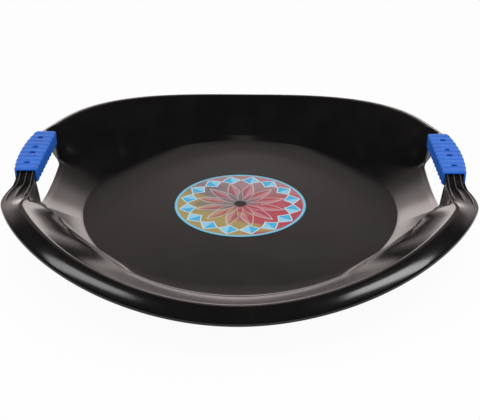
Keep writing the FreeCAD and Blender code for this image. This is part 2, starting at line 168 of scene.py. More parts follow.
class Nodes:
    """The node tree of one material or of the world."""

    def __init__(self, tree: bpy.types.NodeTree) -> None:
        """Start from an empty tree."""
        self.tree = tree
        tree.nodes.clear()

    def add(self, kind: str, settings: Optional[Mapping[str, Any]] = None,
            inputs: Optional[Mapping[Union[int, str], Any]] = None, output: Union[int, str] = 0) -> Value:
        """Add one node.

        Args:
            kind: The node's type.
            settings: Its properties, set first.
            inputs: A number, a colour or a Value for each of its sockets, by name or index.
            output: The output to return.

        Returns:
            That output of the new node, or the first input of a node without outputs.
        """
        node = self.tree.nodes.new(kind)
        for name, value in (settings or {}).items():
            setattr(node, name, value)
        for name, value in (inputs or {}).items():
            socket = node.inputs[name]
            if isinstance(value, Value):
                self.tree.links.new(value.socket, socket)
            else:
                socket.default_value = value
        return Value(self, node.outputs[output] if node.outputs else node.inputs[0])

    def math(self, operation: str, *terms: Term) -> Value:
        """One Math node on the given terms."""
        return self.add("ShaderNodeMath", {"operation": operation}, dict(enumerate(terms)))

    def place(self) -> Value:
        """Place on the object, in metres."""
        return self.add("ShaderNodeTexCoord", output="Object")

    def axes(self, vector: Value) -> tuple[Value, Value, Value]:
        """The three coordinates of a vector."""
        first = self.add("ShaderNodeSeparateXYZ", None, {0: vector})
        return first, first.output("Y"), first.output("Z")

    def from_middle(self, place: Value) -> Value:
        """Distance of a place from the Z axis."""
        x, y, _ = self.axes(place)
        return (x * x + y * y) ** 0.5

    def stretched(self, vector: Value, scale: Triple, turn: float = 0.0) -> Value:
        """A vector turned about Z and scaled on each axis."""
        return self.add("ShaderNodeMapping", {"vector_type": "POINT"},
                        {"Vector": vector, "Rotation": (0.0, 0.0, turn), "Scale": scale})

    def noise(self, vector: Value, scale: float, detail: float = 2.0) -> Value:
        """Soft noise from 0 to 1, with scale in cells per metre."""
        return self.add("ShaderNodeTexNoise", {"noise_dimensions": "3D"},
                        {"Vector": vector, "Scale": scale, "Detail": detail, "Roughness": 0.5})

    def specks(self, vector: Value, scale: float, radius: float) -> Value:
        """Soft round dots in loose order, 1 inside, with scale in dots per metre and radius in cells."""
        distance = self.add("ShaderNodeTexVoronoi", {"feature": "F1"}, {"Vector": vector, "Scale": scale})
        return distance.ease(radius, radius / 2)

    def blend(self, first: Union[Colour, Value], second: Union[Colour, Value], share: Term) -> Value:
        """Two colours mixed by a share from 0 to 1."""
        return self.add("ShaderNodeMix", {"data_type": "RGBA"},
                        {MIX_FACTOR: share, MIX_FIRST: first, MIX_SECOND: second}, MIX_RESULT)

    def bump(self, height: Value, distance: float) -> Value:
        """A surface normal tilted by a height that is given as a share of a distance."""
        return self.add("ShaderNodeBump", None, {"Height": height, "Distance": distance, "Strength": 1.0})

    def surface(self, inputs: Mapping[str, Any]) -> None:
        """Finish a material with a Principled shader of the given inputs."""
        shader = self.add("ShaderNodeBsdfPrincipled", None, inputs)
        self.add("ShaderNodeOutputMaterial", None, {"Surface": shader})


def new_material(name: str) -> tuple[bpy.types.Material, Nodes]:
    """Start a material.

    Args:
        name: Its name.

    Returns:
        The material and its empty node tree.
    """
    material = bpy.data.materials.new(name)
    material.use_nodes = True
    return material, Nodes(material.node_tree)


@dataclass(frozen=True)
class Hairs:
    """Fine scratches: noise stretched along one direction and kept where it is high."""

    cells: Triple
    turn: float
    band: Band

    def mask(self, nodes: Nodes, place: Value) -> Value:
        """1 on the scratches and 0 between them."""
        return nodes.noise(nodes.stretched(place, self.cells, self.turn), 1.0).ease(*self.band)


@dataclass(frozen=True)
class DishPlastic:
    """Black plastic: glossy on the wall, satin on the floor, with hairlines, dust and a painted highlight
    along the ribs' tops.
    """

    colour: Colour = (0.0055, 0.0050, 0.0050, 1.0)
    dusty: Colour = (0.0085, 0.0078, 0.0076, 1.0)
    scuff: Colour = (0.20, 0.19, 0.18, 1.0)
    # Pale grey of the painted highlight along the ribs' tops.
    rubbed_and_highlight: Colour = (0.18, 0.165, 0.155, 1.0)
    ior: float = 1.50
    roughness: float = 0.15
    patch_roughness: float = 0.05
    hair_roughness: float = 0.05
    floor_roughness: float = 0.22
    floor_edge: Band = (196 * MM, 186 * MM)
    patch_cells: float = 22.0
    patch_detail: float = 4.0
    dust_band: Band = (0.35, 0.75)
    hairs_across: Hairs = Hairs((9.0, 420.0, 40.0), 0.35, (0.70, 0.80))
    hairs_along: Hairs = Hairs((520.0, 11.0, 40.0), -0.25, (0.71, 0.82))
    hair_share: float = 0.02
    dot_cells: float = 70.0
    dot_radius: float = 0.035
    dot_share: float = 0.15
    sink_cells: float = 16.0
    sink_detail: float = 1.0
    sink_depth: float = 0.15 * MM
    grain_cells: float = 1100.0
    grain_depth: float = 0.004 * MM

    def material(self) -> bpy.types.Material:
        """Build the material.

        Returns:
            Dust varies the colour in wide patches, hairlines and dots scuff it, the mesh's own layer paints a
            pale highlight along the ribs' tops, and the normal follows wide sink marks and a fine grain.
        """
        material, nodes = new_material("dish_plastic")
        place = nodes.place()
        patches = nodes.noise(place, self.patch_cells, self.patch_detail)
        hairs = self.hairs_across.mask(nodes, place) + self.hairs_along.mask(nodes, place)
        dots = nodes.specks(place, self.dot_cells, self.dot_radius)
        # The mesh's layer says where the painted highlight lies along the ribs' tops.
        rubs_and_highlight = nodes.add("ShaderNodeAttribute", {"attribute_name": RIB_HIGHLIGHT_LAYER}, output="Fac")
        dust = nodes.blend(self.colour, self.dusty, patches.ease(*self.dust_band))
        worn = nodes.blend(dust, self.scuff, hairs * self.hair_share + dots * self.dot_share)
        floor = nodes.from_middle(place).ease(*self.floor_edge)
        satin = self.roughness + floor * (self.floor_roughness - self.roughness)
        grain = nodes.noise(place, self.grain_cells) * (self.grain_depth / self.sink_depth)
        sink = nodes.noise(place, self.sink_cells, self.sink_detail)
        # The base colour takes the painted highlight on the ribs' tops.
        nodes.surface({
            "Base Color": nodes.blend(worn, self.rubbed_and_highlight, rubs_and_highlight),
            "Roughness": satin + (patches - 0.5) * self.patch_roughness + hairs * self.hair_roughness,
            "IOR": self.ior,
            "Normal": nodes.bump(sink + grain, self.sink_depth),
        })
        return material


@dataclass(frozen=True)
class GripPlastic:
    """Blue plastic with a soft sheen, a fine grain and paler, rubbed streaks."""

    name: str
    colour: Colour
    deep: Colour
    rubbed_and_highlight: Colour
    ior: float = 1.49
    specular: float = 0.1
    roughness: float = 0.50
    patch_roughness: float = 0.14
    rub_roughness: float = 0.08
    patch_cells: float = 60.0
    patch_detail: float = 3.0
    tone_band: Band = (0.25, 0.60)
    rubs_and_highlight: Hairs = Hairs((900.0, 60.0, 200.0), 0.0, (0.60, 0.80))
    rub_share: float = 0.45
    grain_cells: float = 1500.0
    grain_depth: float = 0.05 * MM

    def material(self) -> bpy.types.Material:
        """Build the material.

        Returns:
            Wide noise shifts the blue, fine stretched noise rubs it paler, and a fine grain tilts the normal.
        """
        material, nodes = new_material(self.name)
        place = nodes.place()
        patches = nodes.noise(place, self.patch_cells, self.patch_detail)
        rubs_and_highlight = self.rubs_and_highlight.mask(nodes, place)
        tone = nodes.blend(self.deep, self.colour, patches.ease(*self.tone_band))
        nodes.surface({
            "Base Color": nodes.blend(tone, self.rubbed_and_highlight, rubs_and_highlight * self.rub_share),
            "Roughness": self.roughness + (patches - 0.5) * self.patch_roughness + rubs_and_highlight * self.rub_roughness,
            "IOR": self.ior,
            "Specular IOR Level": self.specular,
            "Normal": nodes.bump(nodes.noise(place, self.grain_cells), self.grain_depth),
        })
        return material


GRIP_COVER_BLUE = GripPlastic(
    "grip_plastic", (0.026, 0.164, 0.69, 1.0), (0.020, 0.130, 0.58, 1.0), (0.048, 0.228, 0.77, 1.0))
# The base's darker blue is painted shade, for the shadow in the recesses seen through the cover's windows.
GRIP_BASE_SHADED_BLUE = GripPlastic(
    "grip_base_painted_shade", (0.004, 0.045, 0.36, 1.0), (0.003, 0.036, 0.30, 1.0), (0.010, 0.075, 0.44, 1.0))


@dataclass(frozen=True)
class KiteRing:
    """A ring of kites on the decal, with lengths as shares of its radius."""

    count: int
    middle: float
    half_length: float
    slimness: float = 2.2
    fold: float = 0.01

    def measure(self, share: Value, angle: Value) -> tuple[Value, Value]:
        """Measure the kites.

        Args:
            share: Distance from the decal's middle.
            angle: Angle round it in radians.

        Returns:
            A measure that is under 1 inside the kites, the distance along plus the distance across, each as a
            share of its reach, and a mask that is 1 on the half of each kite that lies ahead.
        """
        turn = (angle * (self.count / math.tau)).fraction() - 0.5
        along = (share - self.middle) / self.half_length
        return abs(turn) * self.slimness + abs(along), turn.ease(-self.fold, self.fold)


@dataclass(frozen=True)
class Drift:
    """A cover that grows in one direction over the decal, with a cloudy border."""

    right: float
    ahead: float
    cloud: float
    band: Band

    def mask(self, right: Value, ahead: Value, clouds: Value) -> Value:
        """A soft step of the weighted sum of both coordinates and the clouds."""
        return (right * self.right + ahead * self.ahead + clouds * self.cloud).ease(*self.band)


@dataclass(frozen=True)
class DecalFilm:
    """Printed film: drifting rose, gold and grey, a faceted star, a ring of blue kites and a pale rim."""

    radius: float
    rim: Colour = (0.20, 0.58, 0.80, 1.0)
    rim_edge: Colour = (0.012, 0.14, 0.20, 1.0)
    grey: Colour = (0.20, 0.17, 0.18, 1.0)
    rose: Colour = (0.46, 0.06, 0.09, 1.0)
    pink: Colour = (0.60, 0.28, 0.31, 1.0)
    gold: Colour = (0.40, 0.31, 0.11, 1.0)
    kite: Colour = (0.05, 0.45, 0.78, 1.0)
    kite_pale: Colour = (0.28, 0.64, 0.86, 1.0)
    line: Colour = (0.70, 0.78, 0.80, 1.0)
    cloud_cells: float = 34.0
    cloud_detail: float = 3.0
    wisp_cells: Triple = (30.0, 110.0, 60.0)
    wisp_turn: float = 0.3
    wisp_detail: float = 4.0
    rose_drift: Drift = Drift(0.8, -0.6, 1.6, (-0.25, 0.45))
    gold_drift: Drift = Drift(-0.8, -0.8, 1.6, (0.10, 0.60))
    pink_drift: Drift = Drift(0.3, 0.9, 1.0, (0.15, 0.80))
    pink_share: float = 0.6
    rays: KiteRing = KiteRing(12, 0.40, 0.28)
    ray_fill: Band = (1.0, 0.96)
    ray_line_inside: Band = (0.90, 0.96)
    ray_line_outside: Band = (1.08, 1.02)
    ray_share: float = 0.6
    kites: KiteRing = KiteRing(16, 0.80, 0.12)
    kite_line: Band = (1.16, 1.10)
    kite_fill: Band = (0.98, 0.92)
    rim_band: Band = (0.95, 0.955)
    edge_band: Band = (0.988, 0.994)
    scuffs: Hairs = Hairs((500.0, 14.0, 40.0), 0.5, (0.66, 0.80))
    scuff_share: float = 0.10
    scuff_roughness: float = 0.15
    roughness: float = 0.24
    ior: float = 1.46
    grain_cells: float = 900.0
    grain_depth: float = 0.02 * MM

    def ground(self, nodes: Nodes, place: Value) -> Value:
        """Colour under the figures.

        Args:
            nodes: The material's nodes.
            place: Place on the object.

        Returns:
            Grey that turns rose to the right, gold to the left in front and pink at the back.
        """
        x, y, _ = nodes.axes(place)
        right, ahead = x / self.radius, y / self.radius
        clouds = nodes.noise(place, self.cloud_cells, self.cloud_detail) - 0.5
        stretched = nodes.stretched(place, self.wisp_cells, self.wisp_turn)
        wisps = nodes.noise(stretched, 1.0, self.wisp_detail) - 0.5
        colour = nodes.blend(self.grey, self.rose, self.rose_drift.mask(right, ahead, clouds))
        colour = nodes.blend(colour, self.gold, self.gold_drift.mask(right, ahead, wisps))
        return nodes.blend(colour, self.pink, self.pink_drift.mask(right, ahead, clouds) * self.pink_share)

    def material(self) -> bpy.types.Material:
        """Build the material.

        Returns:
            The figures are functions of the distance from the middle and of the angle round it, laid over the
            ground one by one.
        """
        material, nodes = new_material("decal_film")
        place = nodes.place()
        x, y, _ = nodes.axes(place)
        share = nodes.from_middle(place) / self.radius
        angle = nodes.math("ARCTAN2", y, x) + math.tau
        ray, ray_half = self.rays.measure(share, angle)
        ray_line = ray.ease(*self.ray_line_inside) * ray.ease(*self.ray_line_outside)
        kite, kite_half = self.kites.measure(share, angle)
        scuffs = self.scuffs.mask(nodes, place)
        layers = [
            (nodes.blend(self.pink, self.rose, ray_half), ray.ease(*self.ray_fill) * self.ray_share),
            (self.line, ray_line * self.ray_share),
            (self.line, kite.ease(*self.kite_line)),
            (nodes.blend(self.kite_pale, self.kite, kite_half), kite.ease(*self.kite_fill)),
            (self.rim, share.ease(*self.rim_band)),
            (self.rim_edge, share.ease(*self.edge_band)),
            (self.line, scuffs * self.scuff_share),
        ]
        colour = self.ground(nodes, place)
        for layer, cover in layers:
            colour = nodes.blend(colour, layer, cover)
        nodes.surface({
            "Base Color": colour,
            "Roughness": self.roughness + scuffs * self.scuff_roughness,
            "IOR": self.ior,
            "Normal": nodes.bump(nodes.noise(place, self.grain_cells), self.grain_depth),
        })
        return material


def ease(value: np.ndarray, start: float, end: float) -> np.ndarray:
    """Soft step from 0 at start to 1 at end, flat at both."""
    share = np.clip((value - start) / (end - start), 0.0, 1.0)
    return share * share * (3 - 2 * share)


def mix(first: np.ndarray, second: np.ndarray, share: np.ndarray) -> np.ndarray:
    """Blend two numbers or points.

    Args:
        first: Numbers or points where the share is 0.
        second: Those where it is 1.
        share: One share for each of them.

    Returns:
        Their weighted mean.
    """
    share = np.asarray(share, float)
    if np.ndim(first) > share.ndim or np.ndim(second) > share.ndim:
        share = share[..., None]
    return first * (1 - share) + second * share


def scaled(vectors: np.ndarray, lengths: np.ndarray) -> np.ndarray:
    """Vectors times one length each."""
    return vectors * lengths[..., None]


def lifted(points: np.ndarray, heights: np.ndarray) -> np.ndarray:
    """Points raised by one height each."""
    return points + heights[..., None] * UP


def even_cosine(count: int) -> np.ndarray:
    """Places from 0 to 1 that crowd towards both ends: half of one minus the cosine of an even half turn."""
    return 0.5 - 0.5 * np.cos(np.linspace(0, math.pi, count + 1))


def spline_weights(poles: int, places: np.ndarray) -> np.ndarray:
    """Weights of a clamped B-spline with even knots, a cubic where it has four poles or more.

    Args:
        poles: Number of poles.
        places: Places along the curve, from 0 to 1.

    Returns:
        One row of weights for each place, by the recursion that mixes two neighbours of the degree below.
    """
    degree = min(poles - 1, 3)
    spans = poles - degree
    knots = np.concatenate([np.zeros(degree), np.arange(spans + 1), np.full(degree, spans)])
    at = np.minimum(places * spans, spans - TINY)[:, None]
    weights = ((knots[:-1] <= at) & (at < knots[1:])).astype(float)
    for order in range(1, degree + 1):
        near = knots[order:-1] - knots[:-order - 1]
        far = knots[order + 1:] - knots[1:-order]
        rising = np.divide(at - knots[:-order - 1], near, out=np.zeros((len(at), len(near))), where=near > 0)
        falling = np.divide(knots[order + 1:] - at, far, out=np.zeros((len(at), len(far))), where=far > 0)
        weights = rising * weights[:, :-1] + falling * weights[:, 1:]
    return weights


def grid_quads(rows: int, columns: int, closed: bool) -> np.ndarray:
    """Corners of the cells of a grid of points, as an array of rows by cells by four.

    Args:
        rows: Number of rows of points.
        columns: Number of points in a row.
        closed: Whether a row's last point joins its first.

    Returns:
        The indices of each cell's corners, in one turning sense.
    """
    row = np.arange(rows - 1)[:, None] * columns
    column = np.arange(columns if closed else columns - 1)[None, :]
    beside = (column + 1) % columns
    return np.stack([row + column, row + beside, row + columns + beside, row + columns + column], axis=-1)


def hole_loop(low: int, high: int, columns: np.ndarray, width: int) -> np.ndarray:
    """Indices round a hole in a grid: along the row low, up the last column, back along high and down.

    Args:
        low: Row at which the hole starts.
        high: Row at which it ends; it may be the smaller number.
        columns: The hole's columns, in order.
        width: Number of points in a row of the grid.

    Returns:
        The loop's points, each once.
    """
    step = 1 if high > low else -1
    between = np.arange(low + step, high, step)
    return np.concatenate([
        low * width + columns,
        between * width + columns[-1],
        high * width + columns[::-1],
        between[::-1] * width + columns[0]])


def bridge(first: np.ndarray, second: np.ndarray) -> np.ndarray:
    """Cells between two closed loops of as many points."""
    return np.stack([first, np.roll(first, -1), np.roll(second, -1), second], axis=-1)


def signed_volume(points: np.ndarray, faces: Sequence[np.ndarray]) -> float:
    """Volume inside closed faces.

    Args:
        points: Points, one per row.
        faces: Arrays of the corners of faces, each of one number of corners.

    Returns:
        A sixth of the summed triple products of the faces' triangles, below 0 if they point inwards.
    """
    total = 0.0
    for cells in faces:
        for corner in range(1, cells.shape[1] - 1):
            first, second, third = (points[cells[:, index]] for index in (0, corner, corner + 1))
            total += float(np.einsum("ij,ij->", first, np.cross(second, third)))
    return total / 6


def make_piece(name: str, points: np.ndarray, faces: Sequence[np.ndarray], sharp: float) -> bpy.types.Object:
    """Make a closed mesh object whose faces point outwards.

    Args:
        name: Name of the piece.
        points: Its points in metres, one per row.
        faces: Arrays of the corners of its faces, each of one number of corners.
        sharp: Angle in degrees over which an edge is shaded sharp.

    Returns:
        The new object, at the origin.
    """
    if signed_volume(points, faces) < 0:
        faces = [cells[:, ::-1] for cells in faces]
    mesh = bpy.data.meshes.new(name)
    mesh.from_pydata(points.tolist(), [], [corners for cells in faces for corners in cells.tolist()])
    mesh.shade_smooth()
    mesh.set_sharp_from_angle(angle=math.radians(sharp))
    piece = bpy.data.objects.new(name, mesh)
    bpy.context.scene.collection.objects.link(piece)
    return piece


def stand_in(piece: bpy.types.Object, material: bpy.types.Material, node: str) -> None:
    """Give a new piece its finish and let it stand for its node on the one body.

    Args:
        piece: The new piece.
        material: Its finish.
        node: The node that it replaces.
    """
    piece.data.materials.append(material)
    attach(piece, "root")
    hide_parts(node)


@dataclass(frozen=True)
class Columns:
    """The columns of the dish's grid: where they stand, and how far each belongs to a form, from 0 to 1.

    Attributes:
        signs: Signs of X and Y, because the sections are worked out in one quarter.
        from_end: Angle from the front or the back, whichever is nearer.
        rear: Whether the column is behind the middle.
        radial: Level direction from the middle.
        rim: Radius of the crest.
        along: Distance from the middle of the side, along the bar.
        saddle: Climb of the rim.
        inner: Hold of the bar's inner edge.
        outer: Hold of the bar's outer edge.
        sill: Hold of the window's sill.
        apron: Width of the front apron.
        fold: Hold of the front fold.
    """

    signs: np.ndarray
    from_end: np.ndarray
    rear: np.ndarray
    radial: np.ndarray
    rim: np.ndarray
    along: np.ndarray
    saddle: np.ndarray
    inner: np.ndarray
    outer: np.ndarray
    sill: np.ndarray
    apron: np.ndarray
    fold: np.ndarray


@dataclass(frozen=True)
class Crown:
    """The upper corners of the dish's section at each column, and what its wall climbs from and to.

    Attributes:
        start: Where the wall leaves the floor.
        crest: Corner between wall and lip.
        edge: Outer corner of the lip.
        hem: End of the hem below it.
        uphill: Level direction from start to crest.
        outward: Level direction from crest to edge.
        run: Level distance from start to crest.
        toe: Level width of the bend at the floor.
        ridge: Height of the lip's highest line.
        wall_top: Height of the wall below the crest.
        slope: Slope of the wall there.
    """

    start: np.ndarray
    crest: np.ndarray
    edge: np.ndarray
    hem: np.ndarray
    uphill: np.ndarray
    outward: np.ndarray
    run: np.ndarray
    toe: np.ndarray
    ridge: np.ndarray
    wall_top: np.ndarray
    slope: np.ndarray

    def on_wall(self, run: np.ndarray, height: np.ndarray) -> np.ndarray:
        """A point by its level distance from the start and its height."""
        return lifted(self.start + scaled(self.uphill, run), height)


@dataclass(frozen=True)
class WindowRows:
    """Numbers of the dish's rows at the edges of its windows, in the upper and the lower skin."""

    sill: int
    lintel: int
    lintel_under: int
    sill_under: int


class SectionRows:
    """Rows of points round the dish's sections, strip by strip, with their places among the corners."""

    def __init__(self, poles: np.ndarray) -> None:
        """Start without rows.

        Args:
            poles: The section's corners, by corner and column.
        """
        self.poles = poles
        self.rows: list[np.ndarray] = []
        self.places: list[np.ndarray] = []

    @property
    def count(self) -> int:
        """Number of rows so far."""
        return sum(len(part) for part in self.rows)

    def rings(self, corner: Corner, shares: np.ndarray) -> None:
        """Add level rings inside a corner.

        Args:
            corner: The corner.
            shares: The rings' shares of its distance from the middle.
        """
        rings = self.poles[corner] * shares[:, None, None]
        rings[..., 2] = self.poles[corner, :, 2]
        self.rows.append(rings)
        self.places.append(np.full(len(shares), float(corner)))

    def strip(self, begin: Corner, end: Corner, shares: np.ndarray) -> None:
        """Add the rows of a strip, which is straight, or a cubic where it has corners between.

        Args:
            begin: Its first corner.
            end: Its last corner.
            shares: Places of the rows between them, from 0 to 1.
        """
        weights = spline_weights(end - begin + 1, shares)
        self.rows.append(np.einsum("rp,pck->rck", weights, self.poles[begin:end + 1]))
        self.places.append(begin + shares * (end - begin))

    def leaning(self, begin: Corner, shares: np.ndarray) -> None:
        """Add the rows of a straight strip whose places differ from column to column."""
        self.rows.append(mix(self.poles[begin][None], self.poles[begin + 1][None], shares))
        self.places.append(begin + shares.mean(axis=1))


@dataclass
class Dish:
    """The moulded dish: a flat floor, a flaring wall, a rolled lip and a handle bar over each hand window.

    In front an apron leads to a fold in the wall. The rear legs of the bars flow into the wall, and the lower
    edge of each window follows the wall's cone.
    """

    # Sheet, floor, rim and lip.
    sheet: float = 3 * MM
    floor_radius: float = 190 * MM
    wall_run: float = 81 * MM
    crest_flattening: float = 10 * MM
    crest_low: float = 38 * MM
    crest_high: float = 60.5 * MM
    lip_width: float = 18.6 * MM
    lip_drop: float = 8.4 * MM
    lip_hem: float = 3.5 * MM
    lip_bow: Band = (0.5, 0.75)

    # Bend at the floor, which widens to the front apron, and the share of it over which the fold comes in.
    toe: float = 0.4 * MM
    apron_width: float = 26 * MM
    apron_slope: float = math.radians(6)
    apron_reach: float = math.radians(50)
    apron_round: float = math.radians(8)
    fold_band: Band = (0.1, 0.5)

    # Slopes at the wall's upper end, and the climb of rim and crease.
    wall_slope_low: float = math.radians(32)
    wall_slope_high: float = math.radians(26)
    saddle_angle: float = math.radians(60)
    crease_start: float = math.radians(46)
    crease_ease: float = math.radians(8)
    crease_climb: float = math.radians(51)
    crease_bend: float = 1.6
    crease_slope: float = math.radians(13)
    crease_gap: float = 5 * MM
    crease_sharpness: Band = (0.5, 0.9)

    # How far the wall runs straight down from its upper end, as a share of its length, and its upper band.
    reach_low: float = 0.75
    reach_high: float = 0.45
    reach_sill: float = 0.5
    reach_apron: float = 0.9
    rim_band: float = 3 * MM
    front_band_slope: float = math.radians(28)

    # Handle bar and grip.
    bar_setback: float = 28.7 * MM
    bar_width: float = 21 * MM
    bar_bow: float = 5.4 * MM
    bar_rise: float = 7 * MM
    bar_depth: float = 9.5 * MM
    grip_length: float = 109 * MM
    grip_clearance: float = 0.2 * MM
    leg_length: float = 50 * MM

    # Stretches of a leg, as shares of its length past the window, over which a form of the bar ends.
    inner_edge_stretch: Band = (0.8, 1.5)
    rear_edge_stretch: Band = (0.0, 0.6)
    rear_tuck: float = 3.5 * MM
    rear_tuck_stretch: Band = (0.9, 2.4)
    outer_edge_stretch: Band = (0.0, 0.9)
    rise_stretch: Band = (-0.05, 0.35)
    dip_stretch: Band = (0.1, 0.75)
    dip_share: float = 0.4
    sill_stretch: Band = (-0.1, 1.0)
    bow_stretch: float = 0.3

    # Hand window.
    sill_height: float = 28 * MM
    sill_inset: float = 3 * MM
    window_land: float = 0.1 * MM
    window_corner: float = 1.2 * MM
    window_rise_limits: Band = (0.003, 0.6)

    # Ribs on the bar.
    rib_places: Triple = (0.12, 0.45, 0.80)
    rib_half: float = 1.0 * MM
    rib_height: float = 1.0 * MM
    rib_run_out: Band = (0.60, 0.80)
    # Power of the ribs' bell in the layer of painted highlight on their tops.
    rib_highlight_power: int = 3

    # Columns in a quarter: beside the window, at its corner, along the leg and beyond, and round to the end.
    window_columns: int = 14
    corner_columns: int = 6
    leg_columns: int = 43
    leg_columns_reach: float = 1.25
    end_columns: int = 41
    quarter_samples: int = 4000

    # Angle in degrees over which an edge is shaded sharp.
    sharp: float = 38.0

    # Rows of the strips of the section.
    floor_rings: tuple[float, ...] = (0.03, 0.10, 0.22, 0.38, 0.54, 0.70, 0.82, 0.92, 0.97, 0.994)
    wall_rows: int = 34
    window_rows: int = 9
    edge_rows: int = 6
    lip_rows: int = 14
    rib_rows: int = 9
    rib_rows_apart: float = 0.02
    under_lip_rows: int = 12
    under_lintel_rows: int = 5
    under_wall_rows: int = 16

    # Places in the section and the rounding's reach there, on the rim and on the bar, in millimetres.
    rounding: tuple[Triple, ...] = (
        (Corner.START, 0, 0),
        (Corner.FOOT, 4, 0.4),
        (Corner.LINTEL, 4.5, 0.5),
        (Corner.CREST, 5, 0.8),
        ((Corner.CREST + Corner.EDGE) / 2, 1.0, 0.5),
        (Corner.EDGE, 1.4, 0.8),
        (Corner.HEM, 0.8, 0.8),
        (Corner.UNDER_EDGE, 0.8, 0.8),
        ((Corner.UNDER_EDGE + Corner.UNDER_CREST) / 2, 1.0, 0.8),
        (Corner.UNDER_CREST, 3, 0.8),
        (Corner.UNDER_LINTEL, 3, 0.5),
        (Corner.UNDER_FOOT, 3, 0.8),
        (Corner.UNDER_START, 0, 0),
    )

    def __post_init__(self) -> None:
        """Work out the sizes that follow from the others."""
        self.crest_radius = self.floor_radius + self.wall_run
        self.bar_inner = self.crest_radius - self.crest_flattening - self.bar_setback
        self.window_end = self.grip_length / 2 + self.grip_clearance
        self.leg_end = self.window_end + self.leg_length
        self.bow_radius = ((self.grip_length / 2) ** 2 + self.bar_bow ** 2) / (2 * self.bar_bow)
        self.window_angle = math.atan2(self.bar_inner, self.window_end)
        sill_reach = math.hypot(self.bar_inner - self.sill_inset, self.window_end)
        self.sill_cone_run = sill_reach - self.floor_radius
        self.sill_slope = math.atan2(self.sill_height, self.sill_cone_run)

    def rim_radius(self, from_side: np.ndarray) -> np.ndarray:
        """Radius of the crest, a circle flattened a little towards the sides by the squared cosine."""
        return self.crest_radius - self.crest_flattening * np.cos(from_side) ** 2

    def bar_share(self, along: np.ndarray, stretch: Band) -> np.ndarray:
        """How far the bar holds at a distance along it: 1 beside the window, 0 past a stretch of the leg."""
        first, last = (self.window_end + share * self.leg_length for share in stretch)
        return 1 - ease(along, first, last)

    def quarter(self) -> np.ndarray:
        """Space the columns of a quarter.

        Returns:
            Angles from side to back, with a column at the window's end and close ones at its corner. Along
            the bar the columns are even in length, and their angles are looked up on the rim.
        """
        dense = np.linspace(0, math.pi / 2, self.quarter_samples)
        along = self.rim_radius(dense) * np.sin(dense)
        corner = self.window_end - self.window_corner
        places = np.concatenate([
            np.linspace(0, corner, self.window_columns, endpoint=False),
            np.linspace(corner, self.window_end, self.corner_columns, endpoint=False),
            np.linspace(self.window_end, self.leg_end * self.leg_columns_reach, self.leg_columns + 1)])
        near = np.interp(places, along, dense)
        return np.concatenate([near[:-1], np.linspace(near[-1], math.pi / 2, self.end_columns + 1)])

    def columns(self) -> Columns:
        """Stand the columns round the dish.

        Returns:
            The angles of one quarter, mirrored to the others. The saddle is a soft step from front and back
            to the sides, the bar's shares are soft steps along its legs, and the apron narrows evenly from
            the front, with its peak rounded as a hyperbola.
        """
        quarter = self.quarter()
        back = quarter[:0:-1]
        angle = np.concatenate([quarter[:-1], math.pi - back, math.pi + quarter[:-1], math.tau - back])
        cosine, sine = np.cos(angle), np.sin(angle)
        from_side = np.arctan2(np.abs(sine), np.abs(cosine))
        from_end = math.pi / 2 - from_side
        rear = sine > 0
        rim = self.rim_radius(from_side)
        along = rim * np.sin(from_side)
        past_front = np.hypot(from_end, self.apron_round) - self.apron_round
        apron = np.where(rear, 0.0, np.clip(1 - past_front / self.apron_reach, 0.0, 1.0))
        rear_edge, front_edge = (
            self.bar_share(along, stretch) for stretch in (self.rear_edge_stretch, self.inner_edge_stretch))
        return Columns(
            signs=np.where(np.stack([cosine, sine], axis=-1) < 0, -1.0, 1.0),
            from_end=from_end,
            rear=rear,
            radial=np.stack([np.cos(from_side), np.sin(from_side), np.zeros_like(angle)], axis=-1),
            rim=rim,
            along=along,
            saddle=ease(from_end, 0, self.saddle_angle),
            inner=np.where(rear, rear_edge, front_edge),
            outer=self.bar_share(along, self.outer_edge_stretch),
            sill=self.bar_share(along, self.sill_stretch),
            apron=apron,
            fold=ease(apron, *self.fold_band))

    def crown(self, at: Columns) -> Crown:
        """Find the section's upper corners.

        Args:
            at: The columns.

        Returns:
            The rim is a circle, the bar a straight line inside it and an arc outside it, and each size blends
            from rim to bar by its share. The bar's inner edge dips towards the wall that a leg stands on.
        """
        level = np.zeros_like(at.along)
        bar_crest = np.stack([level + self.bar_inner, at.along, level], axis=-1)
        crest = mix(scaled(at.radial, at.rim), bar_crest, at.inner)
        bow_reach = np.minimum(at.along, self.window_end + self.bow_stretch * self.leg_length)
        bow = np.sqrt(self.bow_radius ** 2 - bow_reach ** 2) - self.bow_radius + self.bar_bow
        bar_edge = np.stack([self.bar_inner + self.bar_width + bow, at.along, level], axis=-1)
        edge = mix(scaled(at.radial, at.rim + self.lip_width), bar_edge, at.outer)
        outward = (edge - crest) / np.linalg.norm(edge - crest, axis=-1, keepdims=True)

        toe = mix(self.toe, self.apron_width, at.apron)
        start = scaled(at.radial, self.floor_radius - toe / 2)
        run = np.linalg.norm(crest - start, axis=-1)
        uphill = (crest - start) / run[:, None]

        rim_height = mix(self.crest_low, self.crest_high, at.saddle)
        ridge = rim_height + self.bar_rise * self.bar_share(at.along, self.rise_stretch)
        slope = mix(self.wall_slope_low, self.wall_slope_high, at.saddle)
        fall = (at.rim - np.linalg.norm(crest, axis=-1)) * np.tan(slope)
        dip = self.dip_share * fall * (1 - self.bar_share(at.along, self.dip_stretch))
        tuck = np.where(at.rear, self.rear_tuck, 0.0) * self.bar_share(at.along, self.rear_tuck_stretch)
        edge = lifted(edge, ridge - (self.lip_drop + tuck) * (1 - at.outer))
        return Crown(
            start=start,
            crest=lifted(crest, ridge - dip),
            edge=edge,
            hem=lifted(edge, -mix(self.lip_hem, self.bar_depth, at.outer)),
            uphill=uphill,
            outward=outward,
            run=run,
            toe=toe,
            ridge=ridge,
            wall_top=rim_height - fall,
            slope=slope)

